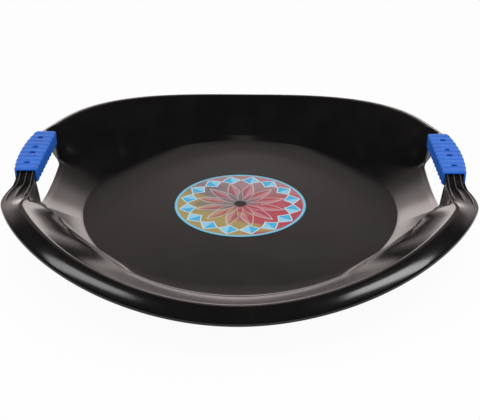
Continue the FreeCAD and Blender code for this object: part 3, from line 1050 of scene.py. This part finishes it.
    def crease_line(self, at: Columns, toe: np.ndarray, limit: np.ndarray) -> tuple[np.ndarray, np.ndarray]:
        """Find the crease in which the wall folds.

        Args:
            at: The columns.
            toe: Level width of the bend at the floor.
            limit: Level distance that the crease doesn't pass.

        Returns:
            Its level distance from the wall's start and its height. It climbs from the toe to the window's
            corner by a power of the angle, on a cone that steepens to the sill's, and rests on the apron in
            front.
        """
        begin = np.where(at.rear, self.crease_start, self.crease_climb)
        climb = np.clip((at.from_end - begin) / (self.window_angle - begin), 0.0, 1.0)
        bend = np.where(at.rear, 1.0, self.crease_bend)
        run = np.minimum(mix(toe, self.sill_cone_run - self.crease_gap, climb ** bend), limit)
        slope = mix(np.where(at.rear, self.sill_slope, self.crease_slope), self.sill_slope, climb)
        apron_height = at.apron * self.apron_width * math.tan(self.apron_slope) / 2
        return run, (run - toe) * np.tan(slope) + apron_height

    def wall(self, at: Columns, crown: Crown) -> list[np.ndarray]:
        """Find the corners of the wall.

        Args:
            at: The columns.
            crown: The section's upper corners.

        Returns:
            Six corners from floor to foot, of which four steer a cubic. Its end follows the wall's slope,
            and its bend moves to the crease at the sides and in front. At a window the foot lies on the
            sill's cone.
        """
        foot_run = crown.run - mix(self.rim_band, self.sill_inset, at.sill)
        band_slope = mix(crown.slope, self.front_band_slope, at.fold)
        sill_line = np.minimum(self.sill_height, foot_run * math.tan(self.sill_slope))
        foot_height = mix(crown.wall_top - self.rim_band * np.tan(band_slope), sill_line, at.sill)
        foot = crown.on_wall(foot_run, foot_height)
        first = crown.on_wall(crown.toe * (1 - at.fold / 2), np.zeros_like(foot_run))

        crease_run, crease_height = self.crease_line(at, crown.toe, foot_run - self.crease_gap)
        crease = crown.on_wall(crease_run, crease_height)
        side_crease = ease(at.from_end, self.crease_start, self.crease_start + self.crease_ease)
        creased = np.maximum(side_crease, at.fold)

        slope = mix(crown.slope, np.arctan2(sill_line, foot_run), at.sill)
        fold_slope = np.arctan2(foot_height - crease_height, foot_run - crease_run)
        slope = mix(slope, fold_slope, at.fold)
        reach = mix(mix(self.reach_low, self.reach_high, at.saddle), self.reach_sill, at.sill)
        reach = mix(reach, self.reach_apron, at.fold)
        span = reach * np.linalg.norm(foot - mix(first, crease, creased), axis=-1)
        second = lifted(foot - scaled(crown.uphill, span * np.cos(slope)), -span * np.sin(slope))
        bend = mix(first / 3 + second * 2 / 3, crease, creased)
        lower = mix(first, bend, mix(*self.crease_sharpness, creased))
        return [crown.start, first, lower, bend, second, foot]

    def lip(self, at: Columns, crown: Crown, foot: np.ndarray) -> list[np.ndarray]:
        """Find the corners from the window's lintel over the crest to the edge.

        Args:
            at: The columns.
            crown: The section's upper corners.
            foot: The wall's upper end.

        Returns:
            Five corners. The two between crest and edge steer a cubic that bows up to the ridge.
        """
        lintel = mix((foot + crown.crest) / 2, crown.crest, at.sill)
        half_way = (crown.crest[:, 2] - foot[:, 2]) / 2
        lintel[:, 2] = crown.crest[:, 2] - np.minimum(self.bar_depth + self.window_land, half_way)
        first, second = (crown.crest * (1 - share) + crown.edge * share for share in (1 / 3, 2 / 3))
        first[:, 2] = mix(crown.ridge, crown.edge[:, 2], self.lip_bow[0] / 3)
        second[:, 2] = mix(crown.ridge, crown.edge[:, 2], self.lip_bow[1] * 2 / 3)
        return [lintel, crown.crest, first, second, crown.edge]

    def underside(self, at: Columns, crown: Crown, upper: np.ndarray) -> np.ndarray:
        """Move the upper corners square to both slopes beside them by the sheet's thickness.

        Args:
            at: The columns.
            crown: The section's upper corners.
            upper: Corners from floor to edge.

        Returns:
            The corners below them, in the same order: each lies on the bisector of its two slopes.
        """
        numbers = np.arange(len(upper))[:, None, None]
        heading = np.where(numbers < Corner.CREST, crown.uphill, crown.outward)
        step = np.diff(upper, axis=0)
        slope = np.arctan2(step[..., 2], np.einsum("ijk,ijk->ij", step, heading[:-1]))
        level = np.zeros((1, len(at.along)))
        before = np.concatenate([level, slope])
        after = np.concatenate([slope, level - math.pi / 2])
        after[Corner.FOOT] = mix(after[Corner.FOOT], before[Corner.FOOT], at.sill)
        across = self.sheet / np.cos((after - before) / 2)
        bisector = (before + after) / 2
        return lifted(upper + scaled(heading, across * np.sin(bisector)), -across * np.cos(bisector))

    def poles(self, at: Columns) -> np.ndarray:
        """Find all corners of the section.

        Args:
            at: The columns.

        Returns:
            Points by corner and column, round the sheet from the floor to the hem and back below.
        """
        crown = self.crown(at)
        wall = self.wall(at, crown)
        upper = np.stack(wall + self.lip(at, crown, wall[-1]))
        hem_inside = crown.hem - crown.outward * self.sheet
        return np.concatenate([upper, [crown.hem, hem_inside], self.underside(at, crown, upper)[::-1]])

    def window_rise(self, along: np.ndarray, foot: np.ndarray, lintel: np.ndarray) -> np.ndarray:
        """Find where the window starts.

        Args:
            along: Distance along the bar.
            foot: Height of the wall's foot.
            lintel: Height of the lintel.

        Returns:
            The share of the way from foot to lintel: a narrow land, lifted by a circle's arc in the corners.
        """
        past = np.clip(along - (self.window_end - self.window_corner), 0.0, self.window_corner)
        lift = self.window_corner - np.sqrt(self.window_corner ** 2 - past ** 2)
        return np.clip((self.window_land + lift) / (lintel - foot), *self.window_rise_limits)

    def rib_shares(self) -> np.ndarray:
        """Space the rows of the lip.

        Returns:
            Places from crest to edge: even ones, and close ones at each rib.
        """
        steps = np.linspace(-1, 1, self.rib_rows) * self.rib_half / self.bar_width
        near = np.concatenate([place + steps for place in self.rib_places])
        even = even_cosine(self.lip_rows)[1:]
        clear = np.abs(even[:, None] - near[None, :]).min(axis=1) > self.rib_rows_apart
        return np.sort(np.concatenate([even[clear], near]))

    def section_rows(self, at: Columns) -> tuple[np.ndarray, np.ndarray, WindowRows]:
        """Points round the section at every column.

        Args:
            at: The columns.

        Returns:
            The rows of points, each row's place among the corners, and the numbers of the rows at the
            windows. The strips under the bar start at the window's edge.
        """
        rows = SectionRows(self.poles(at))
        rise = self.window_rise(at.along, rows.poles[Corner.FOOT, :, 2], rows.poles[Corner.LINTEL, :, 2])
        lean = rise + (1 - rise) * np.linspace(0, 1, self.window_rows)[:, None]
        floor = np.array(self.floor_rings)
        edge = even_cosine(self.edge_rows)[1:]
        rows.rings(Corner.START, floor)
        rows.strip(Corner.START, Corner.FOOT, even_cosine(self.wall_rows))
        sill = rows.count
        rows.leaning(Corner.FOOT, lean)
        rows.strip(Corner.LINTEL, Corner.CREST, edge)
        rows.strip(Corner.CREST, Corner.EDGE, self.rib_shares())
        rows.strip(Corner.EDGE, Corner.HEM, edge)
        rows.strip(Corner.HEM, Corner.HEM_INSIDE, edge)
        rows.strip(Corner.HEM_INSIDE, Corner.UNDER_EDGE, edge)
        rows.strip(Corner.UNDER_EDGE, Corner.UNDER_CREST, even_cosine(self.under_lip_rows)[1:])
        rows.strip(Corner.UNDER_CREST, Corner.UNDER_LINTEL, even_cosine(self.under_lintel_rows)[1:-1])
        lintel_under = rows.count
        rows.leaning(Corner.UNDER_LINTEL, 1 - lean[::-1])
        rows.strip(Corner.UNDER_FOOT, Corner.UNDER_START, even_cosine(self.under_wall_rows))
        rows.rings(Corner.UNDER_START, floor[::-1])
        steps = self.window_rows - 1
        window = WindowRows(sill, sill + steps, lintel_under, lintel_under + steps)
        return np.concatenate(rows.rows), np.concatenate(rows.places), window

    def rounding_reach(self, places: np.ndarray, inner: np.ndarray) -> np.ndarray:
        """Find the reach of the rounding.

        Args:
            places: Places of the rows among the corners.
            inner: Hold of the bar's inner edge at each column.

        Returns:
            The reach at each point, blended from rim to bar.
        """
        corners, rim, bar = np.array(self.rounding, float).T
        rim_reach, bar_reach = (np.interp(places, corners, reach * MM)[:, None] for reach in (rim, bar))
        return mix(rim_reach, bar_reach, inner[None, :])

    @staticmethod
    def rounded(rows: np.ndarray, reach: np.ndarray) -> np.ndarray:
        """Round the corners of every section.

        Args:
            rows: Points of the sections, rows by columns by three.
            reach: Rounding reach at each of them.

        Returns:
            Each point as the mean of its section over its reach to both sides. The running integral of the
            section over its length is a parabola on each straight piece, so the mean is exact.
        """
        count, columns, _ = rows.shape
        step = np.linalg.norm(np.diff(rows, axis=0), axis=-1)
        length = np.concatenate([np.zeros((1, columns)), np.cumsum(step, axis=0)])
        middle = (rows[1:] + rows[:-1]) / 2
        total = np.concatenate([np.zeros((1, columns, 3)), np.cumsum(scaled(middle, step), axis=0)])
        reach = np.minimum(reach, np.minimum(length, length[-1] - length))
        shift = np.arange(columns) * 2 * length[-1].max()
        line = (length + shift).T.ravel()
        points = rows.transpose(1, 0, 2).reshape(-1, 3)
        sums = total.transpose(1, 0, 2).reshape(-1, 3)
        change = np.zeros_like(points)
        change[:-1] = np.diff(points, axis=0) / np.maximum(np.diff(line), TINY)[:, None]

        def integral(place: np.ndarray) -> np.ndarray:
            """Integrate each section from its start.

            Args:
                place: Lengths along the sections, rows by columns.

            Returns:
                The running integral there, rows by columns by three.
            """
            flat = (place + shift).T.ravel()
            index = np.clip(np.searchsorted(line, flat, side="right") - 1, 0, len(line) - 1)
            past = (flat - line[index])[:, None]
            value = sums[index] + points[index] * past + 0.5 * change[index] * past ** 2
            return value.reshape(columns, count, 3).transpose(1, 0, 2)

        width = np.maximum(2 * reach, TINY)[..., None]
        mean = (integral(length + reach) - integral(length - reach)) / width
        return np.where(reach[..., None] > TINY, mean, rows)

    def rib_bell(self, places: np.ndarray) -> np.ndarray:
        """Find the ribs' height across the lip.

        Args:
            places: Places of the rows among the corners.

        Returns:
            A share for each row: a cosine bell round each rib's place.
        """
        share = (places - Corner.CREST) / (Corner.EDGE - Corner.CREST)
        off_rib = np.abs(share[:, None] - np.array(self.rib_places)).min(axis=1) * self.bar_width
        bell = 0.5 + 0.5 * np.cos(math.pi * np.minimum(off_rib / self.rib_half, 1.0))
        return np.where((share > 0) & (share < 1), bell, 0.0)

    def skin(self, rows: int, columns: int, window: WindowRows) -> np.ndarray:
        """Cells of the sheet's two skins, with both hand windows cut through them.

        Args:
            rows: Number of rows.
            columns: Number of columns.
            window: Rows at the windows.

        Returns:
            The cells outside the windows, and those of each window's edge between the skins.
        """
        cells = grid_quads(rows, columns, True)
        kept = np.ones(cells.shape[:2], bool)
        half = self.window_columns + self.corner_columns
        edges = []
        for middle in (0, columns // 2):
            spread = (middle + np.arange(-half, half + 1)) % columns
            kept[window.sill:window.lintel, spread[:-1]] = False
            kept[window.lintel_under:window.sill_under, spread[:-1]] = False
            upper = hole_loop(window.sill, window.lintel, spread, columns)
            lower = hole_loop(window.sill_under, window.lintel_under, spread, columns)
            edges.append(bridge(upper, lower))
        return np.concatenate([cells[kept], *edges])

    def build(self) -> bpy.types.Object:
        """Make the dish as one closed mesh.

        Returns:
            The section's rows carried round the dish, with ribs raised on the lip near the bars, and the
            floor closed at its middle. A layer of the mesh marks the tops of the ribs for a painted
            highlight.
        """
        at = self.columns()
        rows, places, window = self.section_rows(at)
        rows = self.rounded(rows, self.rounding_reach(places, at.inner))
        bell = self.rib_bell(places)[:, None]
        run_out = self.bar_share(at.along, self.rib_run_out)
        rows[..., 2] += bell * run_out * self.rib_height
        rows[..., 2] += self.sheet
        rows[..., :2] *= at.signs

        count, columns, _ = rows.shape
        size = count * columns
        ring = np.arange(columns)
        last = size - columns + ring
        top_fan = np.stack([np.full(columns, size), np.roll(ring, -1), ring], axis=-1)
        bottom_fan = np.stack([np.full(columns, size + 1), last, np.roll(last, -1)], axis=-1)
        middles = scaled(np.array([UP, UP]), rows[[0, -1], 0, 2])
        points = np.concatenate([rows.reshape(-1, 3), middles])
        faces = [self.skin(count, columns, window), top_fan, bottom_fan]
        piece = make_piece("dish_shell", points, faces, self.sharp)
        # A layer of the mesh paints a pale highlight along the ribs' tops.
        rib_highlight = np.zeros(len(points), np.float32)
        rib_highlight[:size] = (bell ** self.rib_highlight_power * run_out).ravel()
        piece.data.attributes.new(RIB_HIGHLIGHT_LAYER, "FLOAT", "POINT").data.foreach_set("value", rib_highlight)
        return piece

    def dress(self, piece: bpy.types.Object) -> None:
        """Give the dish its black plastic."""
        stand_in(piece, DishPlastic().material(), "dish")


@dataclass
class Grip:
    """A grip: a base, and a cover that is a ridged arch over the bar with half-moon windows."""

    side: Side
    wall: float = 1.6 * MM
    corner: float = 3 * MM
    inner_corner: float = 0.5 * MM
    ridge_height: float = 0.8 * MM
    ridge_crown: float = 0.4
    ridge_count: int = 10
    bow: float = 5.4 * MM
    end_round: float = 0.6 * MM
    window_half: float = 3.2 * MM
    window_length: float = 5.8 * MM
    window_across: float = 14.925 * MM
    window_places: tuple[float, ...] = (-35.5 * MM, -7.5 * MM, 7.5 * MM, 35.5 * MM)
    window_edge: float = 0.3 * MM
    patch_margin: float = 1.8 * MM
    sharp: float = 45.0

    # Lines along the cover: their step, their places in the end's rounding and their steps at a window.
    line_step: float = 0.8 * MM
    end_steps: tuple[float, ...] = (0.0, 0.08, 0.25, 0.55, 1.0)
    patch_steps: int = 10

    # Lines across it: up a side, round an edge, on the top before, at and behind the windows.
    side_lines: int = 6
    edge_lines: int = 8
    near_lines: int = 4
    patch_lines: int = 10
    far_lines: int = 3

    def __post_init__(self) -> None:
        """Take the cover's place and size from its node, without the ridges and the bow."""
        low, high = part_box(f"{Side.RIGHT.word}_grip_cover")
        self.inner_x = low.x + self.ridge_height
        self.base_z = low.z
        self.front_y = low.y
        self.length = high.y - low.y
        self.height = high.z - low.z - self.ridge_height
        self.ceiling = self.height - self.wall
        self.width = high.x - low.x - 2 * self.ridge_height - self.bow
        self.half_across = self.window_half + self.patch_margin
        self.half_along = self.half_across * (self.window_length / 2) / self.window_half

    def bow_at(self, y: np.ndarray) -> np.ndarray:
        """Outward bow of the outer side.

        Args:
            y: Places along the cover.

        Returns:
            An arc of a circle over the cover's length.
        """
        half = self.length / 2
        radius = (half ** 2 + self.bow ** 2) / (2 * self.bow)
        return np.sqrt(radius ** 2 - np.minimum(np.abs(y), half) ** 2) - radius + self.bow

    def ridge_at(self, y: np.ndarray) -> np.ndarray:
        """Height over the grooves.

        Args:
            y: Places along the cover.

        Returns:
            Ridges in even steps as a cosine, and a round-over at both ends.
        """
        pitch = self.length / self.ridge_count
        wave = 0.5 + 0.5 * np.cos(math.tau * (y / pitch - 0.5 + (self.ridge_count % 2) / 2))
        past = np.clip(np.abs(y) - (self.length / 2 - self.end_round), 0.0, self.end_round)
        fall = self.end_round - np.sqrt(self.end_round ** 2 - past ** 2)
        return self.ridge_height * wave - fall

    def top_at(self, y: np.ndarray) -> np.ndarray:
        """Height of the cover's top over its base."""
        return self.height + self.ridge_crown * self.ridge_at(y)

    def lines_along(self) -> tuple[np.ndarray, list[tuple[int, int]]]:
        """Space the grid's lines along the cover.

        Returns:
            Their places, and the numbers of the first and the last line at each window's patch.
        """
        half = self.length / 2
        rounding = self.end_round * np.array(self.end_steps)
        lines = list(-half + rounding)
        patches = []
        for place in self.window_places:
            begin = place - self.half_along
            count = max(int((begin - lines[-1]) / self.line_step), 2)
            lines.extend(np.linspace(lines[-1], begin, count + 1)[1:])
            first = len(lines) - 1
            lines.extend(np.linspace(begin, place + self.half_along, self.patch_steps + 1)[1:])
            patches.append((first, len(lines) - 1))
        count = int((half - self.end_round - lines[-1]) / self.line_step)
        lines.extend(np.linspace(lines[-1], half - self.end_round, count + 1)[1:])
        lines.extend((half - rounding[::-1])[1:])
        return np.array(lines), patches

    def arch(self, inset: float, height: float, radius: float,
             y: np.ndarray, proud: np.ndarray) -> np.ndarray:
        """One skin of the cover.

        Args:
            inset: Distance of its sides from the cover's own.
            height: Height of its top.
            radius: Radius of its two long edges, without the ridges.
            y: Places along the cover.
            proud: How far the skin stands out there.

        Returns:
            Points by place and line: up the inner side, round the edge by sine and cosine, across the top,
            round the other edge and down the outer side. The lines at the windows keep their distance from
            the inner side.
        """
        turn = np.linspace(0, math.pi / 2, self.edge_lines)
        cosine, sine = np.cos(turn), np.sin(turn)
        climb = np.linspace(0, 1, self.side_lines, endpoint=False) * (height - radius)
        low, high = self.window_across - self.half_across, self.window_across + self.half_across
        near = np.linspace(inset + radius, low, self.near_lines + 1)[1:]
        over = np.linspace(low, high, self.patch_lines + 1)[1:]
        share = np.linspace(0, 1, self.far_lines + 2)[1:-1]
        outer = -inset - radius
        edge_z = height - radius
        # Each run of lines: X and its shares of width and stand-out, Z and its share of the stand-out.
        runs = [
            (inset, 0.0, -1.0, climb, 0.0),
            (inset + radius - radius * cosine, 0.0, -cosine, edge_z + radius * sine, sine),
            (np.concatenate([near, over]), 0.0, 0.0, height, 1.0),
            (high + (outer - high) * share, share, 0.0, height, 1.0),
            (outer + radius * sine, 1.0, sine, edge_z + radius * cosine, cosine),
            (-inset, 1.0, 1.0, climb[::-1], 0.0),
        ]
        base_x, by_width, by_proud, base_z, rise = np.concatenate(
            [np.stack(np.broadcast_arrays(*run)) for run in runs], axis=1)
        width = self.width + self.bow_at(y)
        x = base_x + by_width * width[:, None] + by_proud * proud[:, None]
        z = base_z + rise * self.ridge_crown * proud[:, None]
        return np.stack([x, np.broadcast_to(y[:, None], x.shape), z], axis=-1)

    def window_radius(self, angle: np.ndarray) -> np.ndarray:
        """Outline of a half-moon window.

        Args:
            angle: Angles round its middle.

        Returns:
            The outline's distance from the middle: straight in front and at the sides, a circle at the back.
        """
        half, reach = self.window_half, self.window_length / 2
        middle = reach - half
        side = half / np.maximum(np.abs(np.cos(angle)), TINY)
        front = reach / np.maximum(-np.sin(angle), TINY)
        back = middle * np.sin(angle) + np.sqrt(half ** 2 - (middle * np.cos(angle)) ** 2)
        return np.where(side * np.sin(angle) <= middle, np.minimum(side, front), back)

    def window_rings(self, border: np.ndarray, place: float) -> list[np.ndarray]:
        """Rings of points that lead through a window.

        Args:
            border: Points of the outer skin round the window's patch.
            place: Place of the window along the cover.

        Returns:
            Rings on rays from the window's middle: on top halfway to the outline, at its broken edge and at
            the outline, and under the ceiling at the outline and halfway back.
        """
        middle = np.array([self.window_across, place])
        edge = border[:, :2] - middle
        angle = np.arctan2(edge[:, 1], edge[:, 0])
        outline = scaled(np.stack([np.cos(angle), np.sin(angle)], axis=-1), self.window_radius(angle))
        wider = outline * (1 + self.window_edge / self.window_half)
        half_way = (edge + wider) / 2
        under = np.full(len(edge), self.ceiling)
        rings = [
            (half_way, self.top_at(half_way[:, 1] + place)),
            (wider, self.top_at(wider[:, 1] + place)),
            (outline, self.top_at(outline[:, 1] + place) - self.window_edge),
            (outline, under),
            ((edge + outline) / 2, under),
        ]
        return [np.column_stack([plan + middle, height]) for plan, height in rings]

    def build(self) -> bpy.types.Object:
        """Make the cover as one closed mesh.

        Returns:
            An outer and an inner skin on the same grid, joined along the open edges and through the windows,
            where rings lead from the grid's cells to the outline and down to the inner skin.
        """
        y, patches = self.lines_along()
        outer = self.arch(0.0, self.height, self.corner - self.ridge_height, y, self.ridge_at(y))
        inner = self.arch(self.wall, self.ceiling, self.inner_corner, y, np.zeros_like(y))
        rows, columns, _ = outer.shape
        size = rows * columns
        first_line = self.side_lines + self.edge_lines + self.near_lines - 1
        lines = np.arange(first_line, first_line + self.patch_lines + 1)

        cells = grid_quads(rows, columns, False)
        kept = np.ones(cells.shape[:2], bool)
        for begin, end in patches:
            kept[begin:end, lines[:-1]] = False
        shell = cells[kept]
        border = hole_loop(0, rows - 1, np.arange(columns), columns)
        faces = [shell, shell[:, ::-1] + size, bridge(border, border + size)[:, ::-1]]

        points = [outer.reshape(-1, 3), inner.reshape(-1, 3)]
        count = 2 * size
        for (begin, end), place in zip(patches, self.window_places):
            loop = hole_loop(begin, end, lines, columns)
            rings = self.window_rings(points[0][loop], place)
            numbers = count + np.arange(len(rings) * len(loop)).reshape(len(rings), -1)
            points.extend(rings)
            count += numbers.size
            chain = [loop, *numbers, loop + size]
            faces.extend(bridge(near, far) for near, far in zip(chain, chain[1:]))

        placed = np.concatenate(points) + [self.inner_x, self.front_y + self.length / 2, self.base_z]
        placed[:, 0] *= self.side.value
        return make_piece(f"{self.side.word}_grip_arch", placed, [np.concatenate(faces)], self.sharp)

    def dress(self, piece: bpy.types.Object, cover: bpy.types.Material, base: bpy.types.Material) -> None:
        """Give the cover its blue, and the base below it, which stays as it is in the frame, a darker blue
        that is painted shade for the recesses seen through the cover's windows.

        Args:
            piece: The cover.
            cover: Its finish.
            base: The finish of the base: a darker blue that is painted shade.
        """
        stand_in(piece, cover, f"{self.side.word}_grip_cover")
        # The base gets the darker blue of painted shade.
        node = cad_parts[f"{self.side.word}_grip_base"]
        for holder in node.material_slots:
            holder.material = base
        LOG.info("%s dressed", node.name)


@dataclass
class Decal:
    """The round printed film on the floor, with a hole in its middle."""

    hole: float = 7.5 * MM
    edge: float = 0.12 * MM
    rings: int = 12
    columns: int = 240
    sharp: float = 30.0

    def __post_init__(self) -> None:
        """Take the film's radius and heights from its node."""
        low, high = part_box("decal")
        self.radius = (high.x - low.x) / 2
        self.low, self.high = low.z, high.z

    def build(self) -> bpy.types.Object:
        """Make the film as one closed mesh.

        Returns:
            A closed profile, flat below, with its two upper edges broken, carried round the middle.
        """
        shares = np.linspace(0, 1, self.rings + 2)[1:-1]
        level = np.ones(len(shares))
        shoulder = self.high - self.edge
        outer, inner = self.radius - self.edge, self.hole + self.edge
        profile = np.concatenate([
            [[self.radius, self.low], [self.radius, shoulder], [outer, self.high]],
            np.stack([mix(outer, inner, shares), level * self.high], axis=-1),
            [[inner, self.high], [self.hole, shoulder], [self.hole, self.low]],
            np.stack([mix(self.hole, self.radius, shares), level * self.low], axis=-1)])
        turn = np.linspace(0, math.tau, self.columns, endpoint=False)
        reach, height = profile[:, None, 0], profile[:, None, 1]
        points = np.stack([reach * np.cos(turn), reach * np.sin(turn), height + 0 * turn], axis=-1)
        cells = grid_quads(len(profile) + 1, self.columns, True).reshape(-1, 4) % points[..., 0].size
        return make_piece("decal_print", points.reshape(-1, 3), [cells], self.sharp)

    def dress(self, piece: bpy.types.Object) -> None:
        """Give the film its print."""
        stand_in(piece, DecalFilm(self.radius).material(), "decal")


def standing(at: Sequence[float], right: np.ndarray, up: np.ndarray) -> Matrix:
    """Placing of an object at a point, with its X and Y axes along two directions."""
    turned = Matrix(np.stack([right, up, np.cross(right, up)], axis=-1).tolist()).to_4x4()
    return Matrix.Translation(tuple(at)) @ turned


@dataclass(frozen=True)
class Softbox:
    """A rectangular lamp that faces a point of the sled, with a grid that may narrow its beam."""

    name: str
    azimuth: float
    elevation: float
    distance: float
    width: float
    height: float
    watts: float
    tint: Triple = (1.0, 1.0, 1.0)
    aim: Triple = (0.0, 0.0, 0.0)
    beam: float = 180.0

    def build(self) -> None:
        """Hang the lamp on a sphere round the point that it faces."""
        turn, climb = math.radians(self.azimuth), math.radians(self.elevation)
        back = np.array([math.sin(turn) * math.cos(climb), math.cos(turn) * math.cos(climb), math.sin(climb)])
        right = np.cross(UP, back)
        right /= np.linalg.norm(right)
        lamp = bpy.data.lights.new(self.name, "AREA")
        lamp.shape = "RECTANGLE"
        lamp.size, lamp.size_y = self.width, self.height
        lamp.energy = self.watts
        lamp.color = self.tint
        lamp.spread = math.radians(self.beam)
        holder = bpy.data.objects.new(self.name, lamp)
        holder.matrix_world = standing(back * self.distance + self.aim, right, np.cross(back, right))
        holder.visible_camera = False
        bpy.context.scene.collection.objects.link(holder)


@dataclass(frozen=True)
class Studio:
    """Pale floor, soft light and the camera.

    The bands of the world are in coordinates of its directions: how far behind, to the side and up.
    """

    floor_size: float = 12.0
    floor_gap: float = 0.3 * MM
    floor_colour: Colour = (0.86, 0.86, 0.86, 1.0)
    floor_glow: float = 0.95
    wall_behind: Band = (0.45, 0.80)
    wall_top: Band = (0.62, 0.53)
    wall_light: float = 0.33
    room_light: float = 0.03
    wing_side: Band = (0.18, 0.32)
    wing_top: Band = (0.50, 0.38)
    wing_light: float = 1.1
    warm: Colour = (1.0, 0.89, 0.86, 1.0)
    diffuse: float = 0.68
    camera_at: Triple = (0.0195, -0.94882, 0.50994)
    camera_right: Triple = (0.99979, 0.02030, -0.00112)
    camera_up: Triple = (-0.00870, 0.47714, 0.87879)
    lens: float = 66.0
    sensor: float = 36.0
    lamps: tuple[Softbox, ...] = (
        Softbox("back_softbox", azimuth=0.0, elevation=12.0, distance=4.0, width=5.2, height=0.8, watts=38.0,
                tint=(1.0, 0.90, 0.87)),
        Softbox("left_softbox", azimuth=-75.0, elevation=64.0, distance=0.6, width=0.115, height=0.38,
                watts=0.31, aim=(-0.175, -0.205, 0.05), beam=120.0),
        Softbox("right_softbox", azimuth=75.0, elevation=64.0, distance=0.6, width=0.115, height=0.38,
                watts=0.50, aim=(0.175, -0.205, 0.05), beam=120.0),
    )

    def build_floor(self) -> None:
        """Lay a square floor that glows in part for the camera, so that it is white and keeps the shadow."""
        half = self.floor_size / 2
        corners = [(-half, -half), (half, -half), (half, half), (-half, half)]
        mesh = bpy.data.meshes.new("floor")
        mesh.from_pydata([(x, y, -self.floor_gap) for x, y in corners], [], [(0, 1, 2, 3)])
        floor = bpy.data.objects.new("floor", mesh)
        bpy.context.scene.collection.objects.link(floor)
        material, nodes = new_material("floor_paper")
        seen = nodes.add("ShaderNodeLightPath", output="Is Camera Ray")
        matt = nodes.add("ShaderNodeBsdfDiffuse", None, {"Color": self.floor_colour})
        glow = nodes.add("ShaderNodeEmission", None, {"Color": WHITE, "Strength": 1.0})
        mixed = nodes.add("ShaderNodeMixShader", None, {0: seen * self.floor_glow, 1: matt, 2: glow})
        nodes.add("ShaderNodeOutputMaterial", None, {"Surface": mixed})
        mesh.materials.append(material)

    def build_world(self) -> None:
        """White for the camera, dim and even for matt surfaces, a dark room with a pale wall for gloss."""
        world = bpy.data.worlds.new("studio")
        world.use_nodes = True
        bpy.context.scene.world = world
        nodes = Nodes(world.node_tree)
        seen = nodes.add("ShaderNodeLightPath", output="Is Camera Ray")
        gloss = seen.output("Is Glossy Ray") + seen.output("Is Transmission Ray")
        across, back, climb = nodes.axes(nodes.add("ShaderNodeTexCoord", output="Generated"))
        wings = abs(across).ease(*self.wing_side) * climb.ease(*self.wing_top) * self.wing_light
        wall = climb.ease(*self.wall_top) * (self.wall_light - self.room_light)
        sky = self.room_light + back.ease(*self.wall_behind) * (wall + wings)
        level = seen + (1.0 - seen) * (gloss * sky + (1.0 - gloss) * self.diffuse)
        tint = nodes.blend(WHITE, self.warm, gloss)
        light = nodes.add("ShaderNodeBackground", None, {"Color": tint, "Strength": level})
        nodes.add("ShaderNodeOutputWorld", None, {"Surface": light})

    def build_camera(self) -> None:
        """Stand the camera at the photograph's place, turned by its right and up directions."""
        lens = bpy.data.cameras.new("camera")
        lens.sensor_width = self.sensor
        lens.lens = self.lens
        camera = bpy.data.objects.new("camera", lens)
        camera.matrix_world = standing(self.camera_at, np.array(self.camera_right), np.array(self.camera_up))
        bpy.context.scene.collection.objects.link(camera)
        bpy.context.scene.camera = camera

    def build(self) -> None:
        """Set up floor, world, lamps, camera and a plain view of the colours."""
        self.build_floor()
        self.build_world()
        for lamp in self.lamps:
            lamp.build()
        self.build_camera()
        bpy.context.scene.view_settings.view_transform = "Standard"


def report(piece: bpy.types.Object) -> None:
    """Log a new piece."""
    LOG.info("%s built with %d faces", piece.name, len(piece.data.polygons))


def main() -> None:
    """Build and dress the sled, piece by piece, and set up the studio."""
    logging.basicConfig(level=logging.INFO, format="%(name)s: %(message)s")
    dish = Dish()
    shell = dish.build()
    dish.dress(shell)
    report(shell)
    # The base's darker blue is painted shade.
    cover_blue, base_shaded_blue = GRIP_COVER_BLUE.material(), GRIP_BASE_SHADED_BLUE.material()
    for side in Side:
        grip = Grip(side)
        cover = grip.build()
        grip.dress(cover, cover_blue, base_shaded_blue)
        report(cover)
    decal = Decal()
    film = decal.build()
    decal.dress(film)
    report(film)
    Studio().build()


if __name__ == "__main__":
    main()
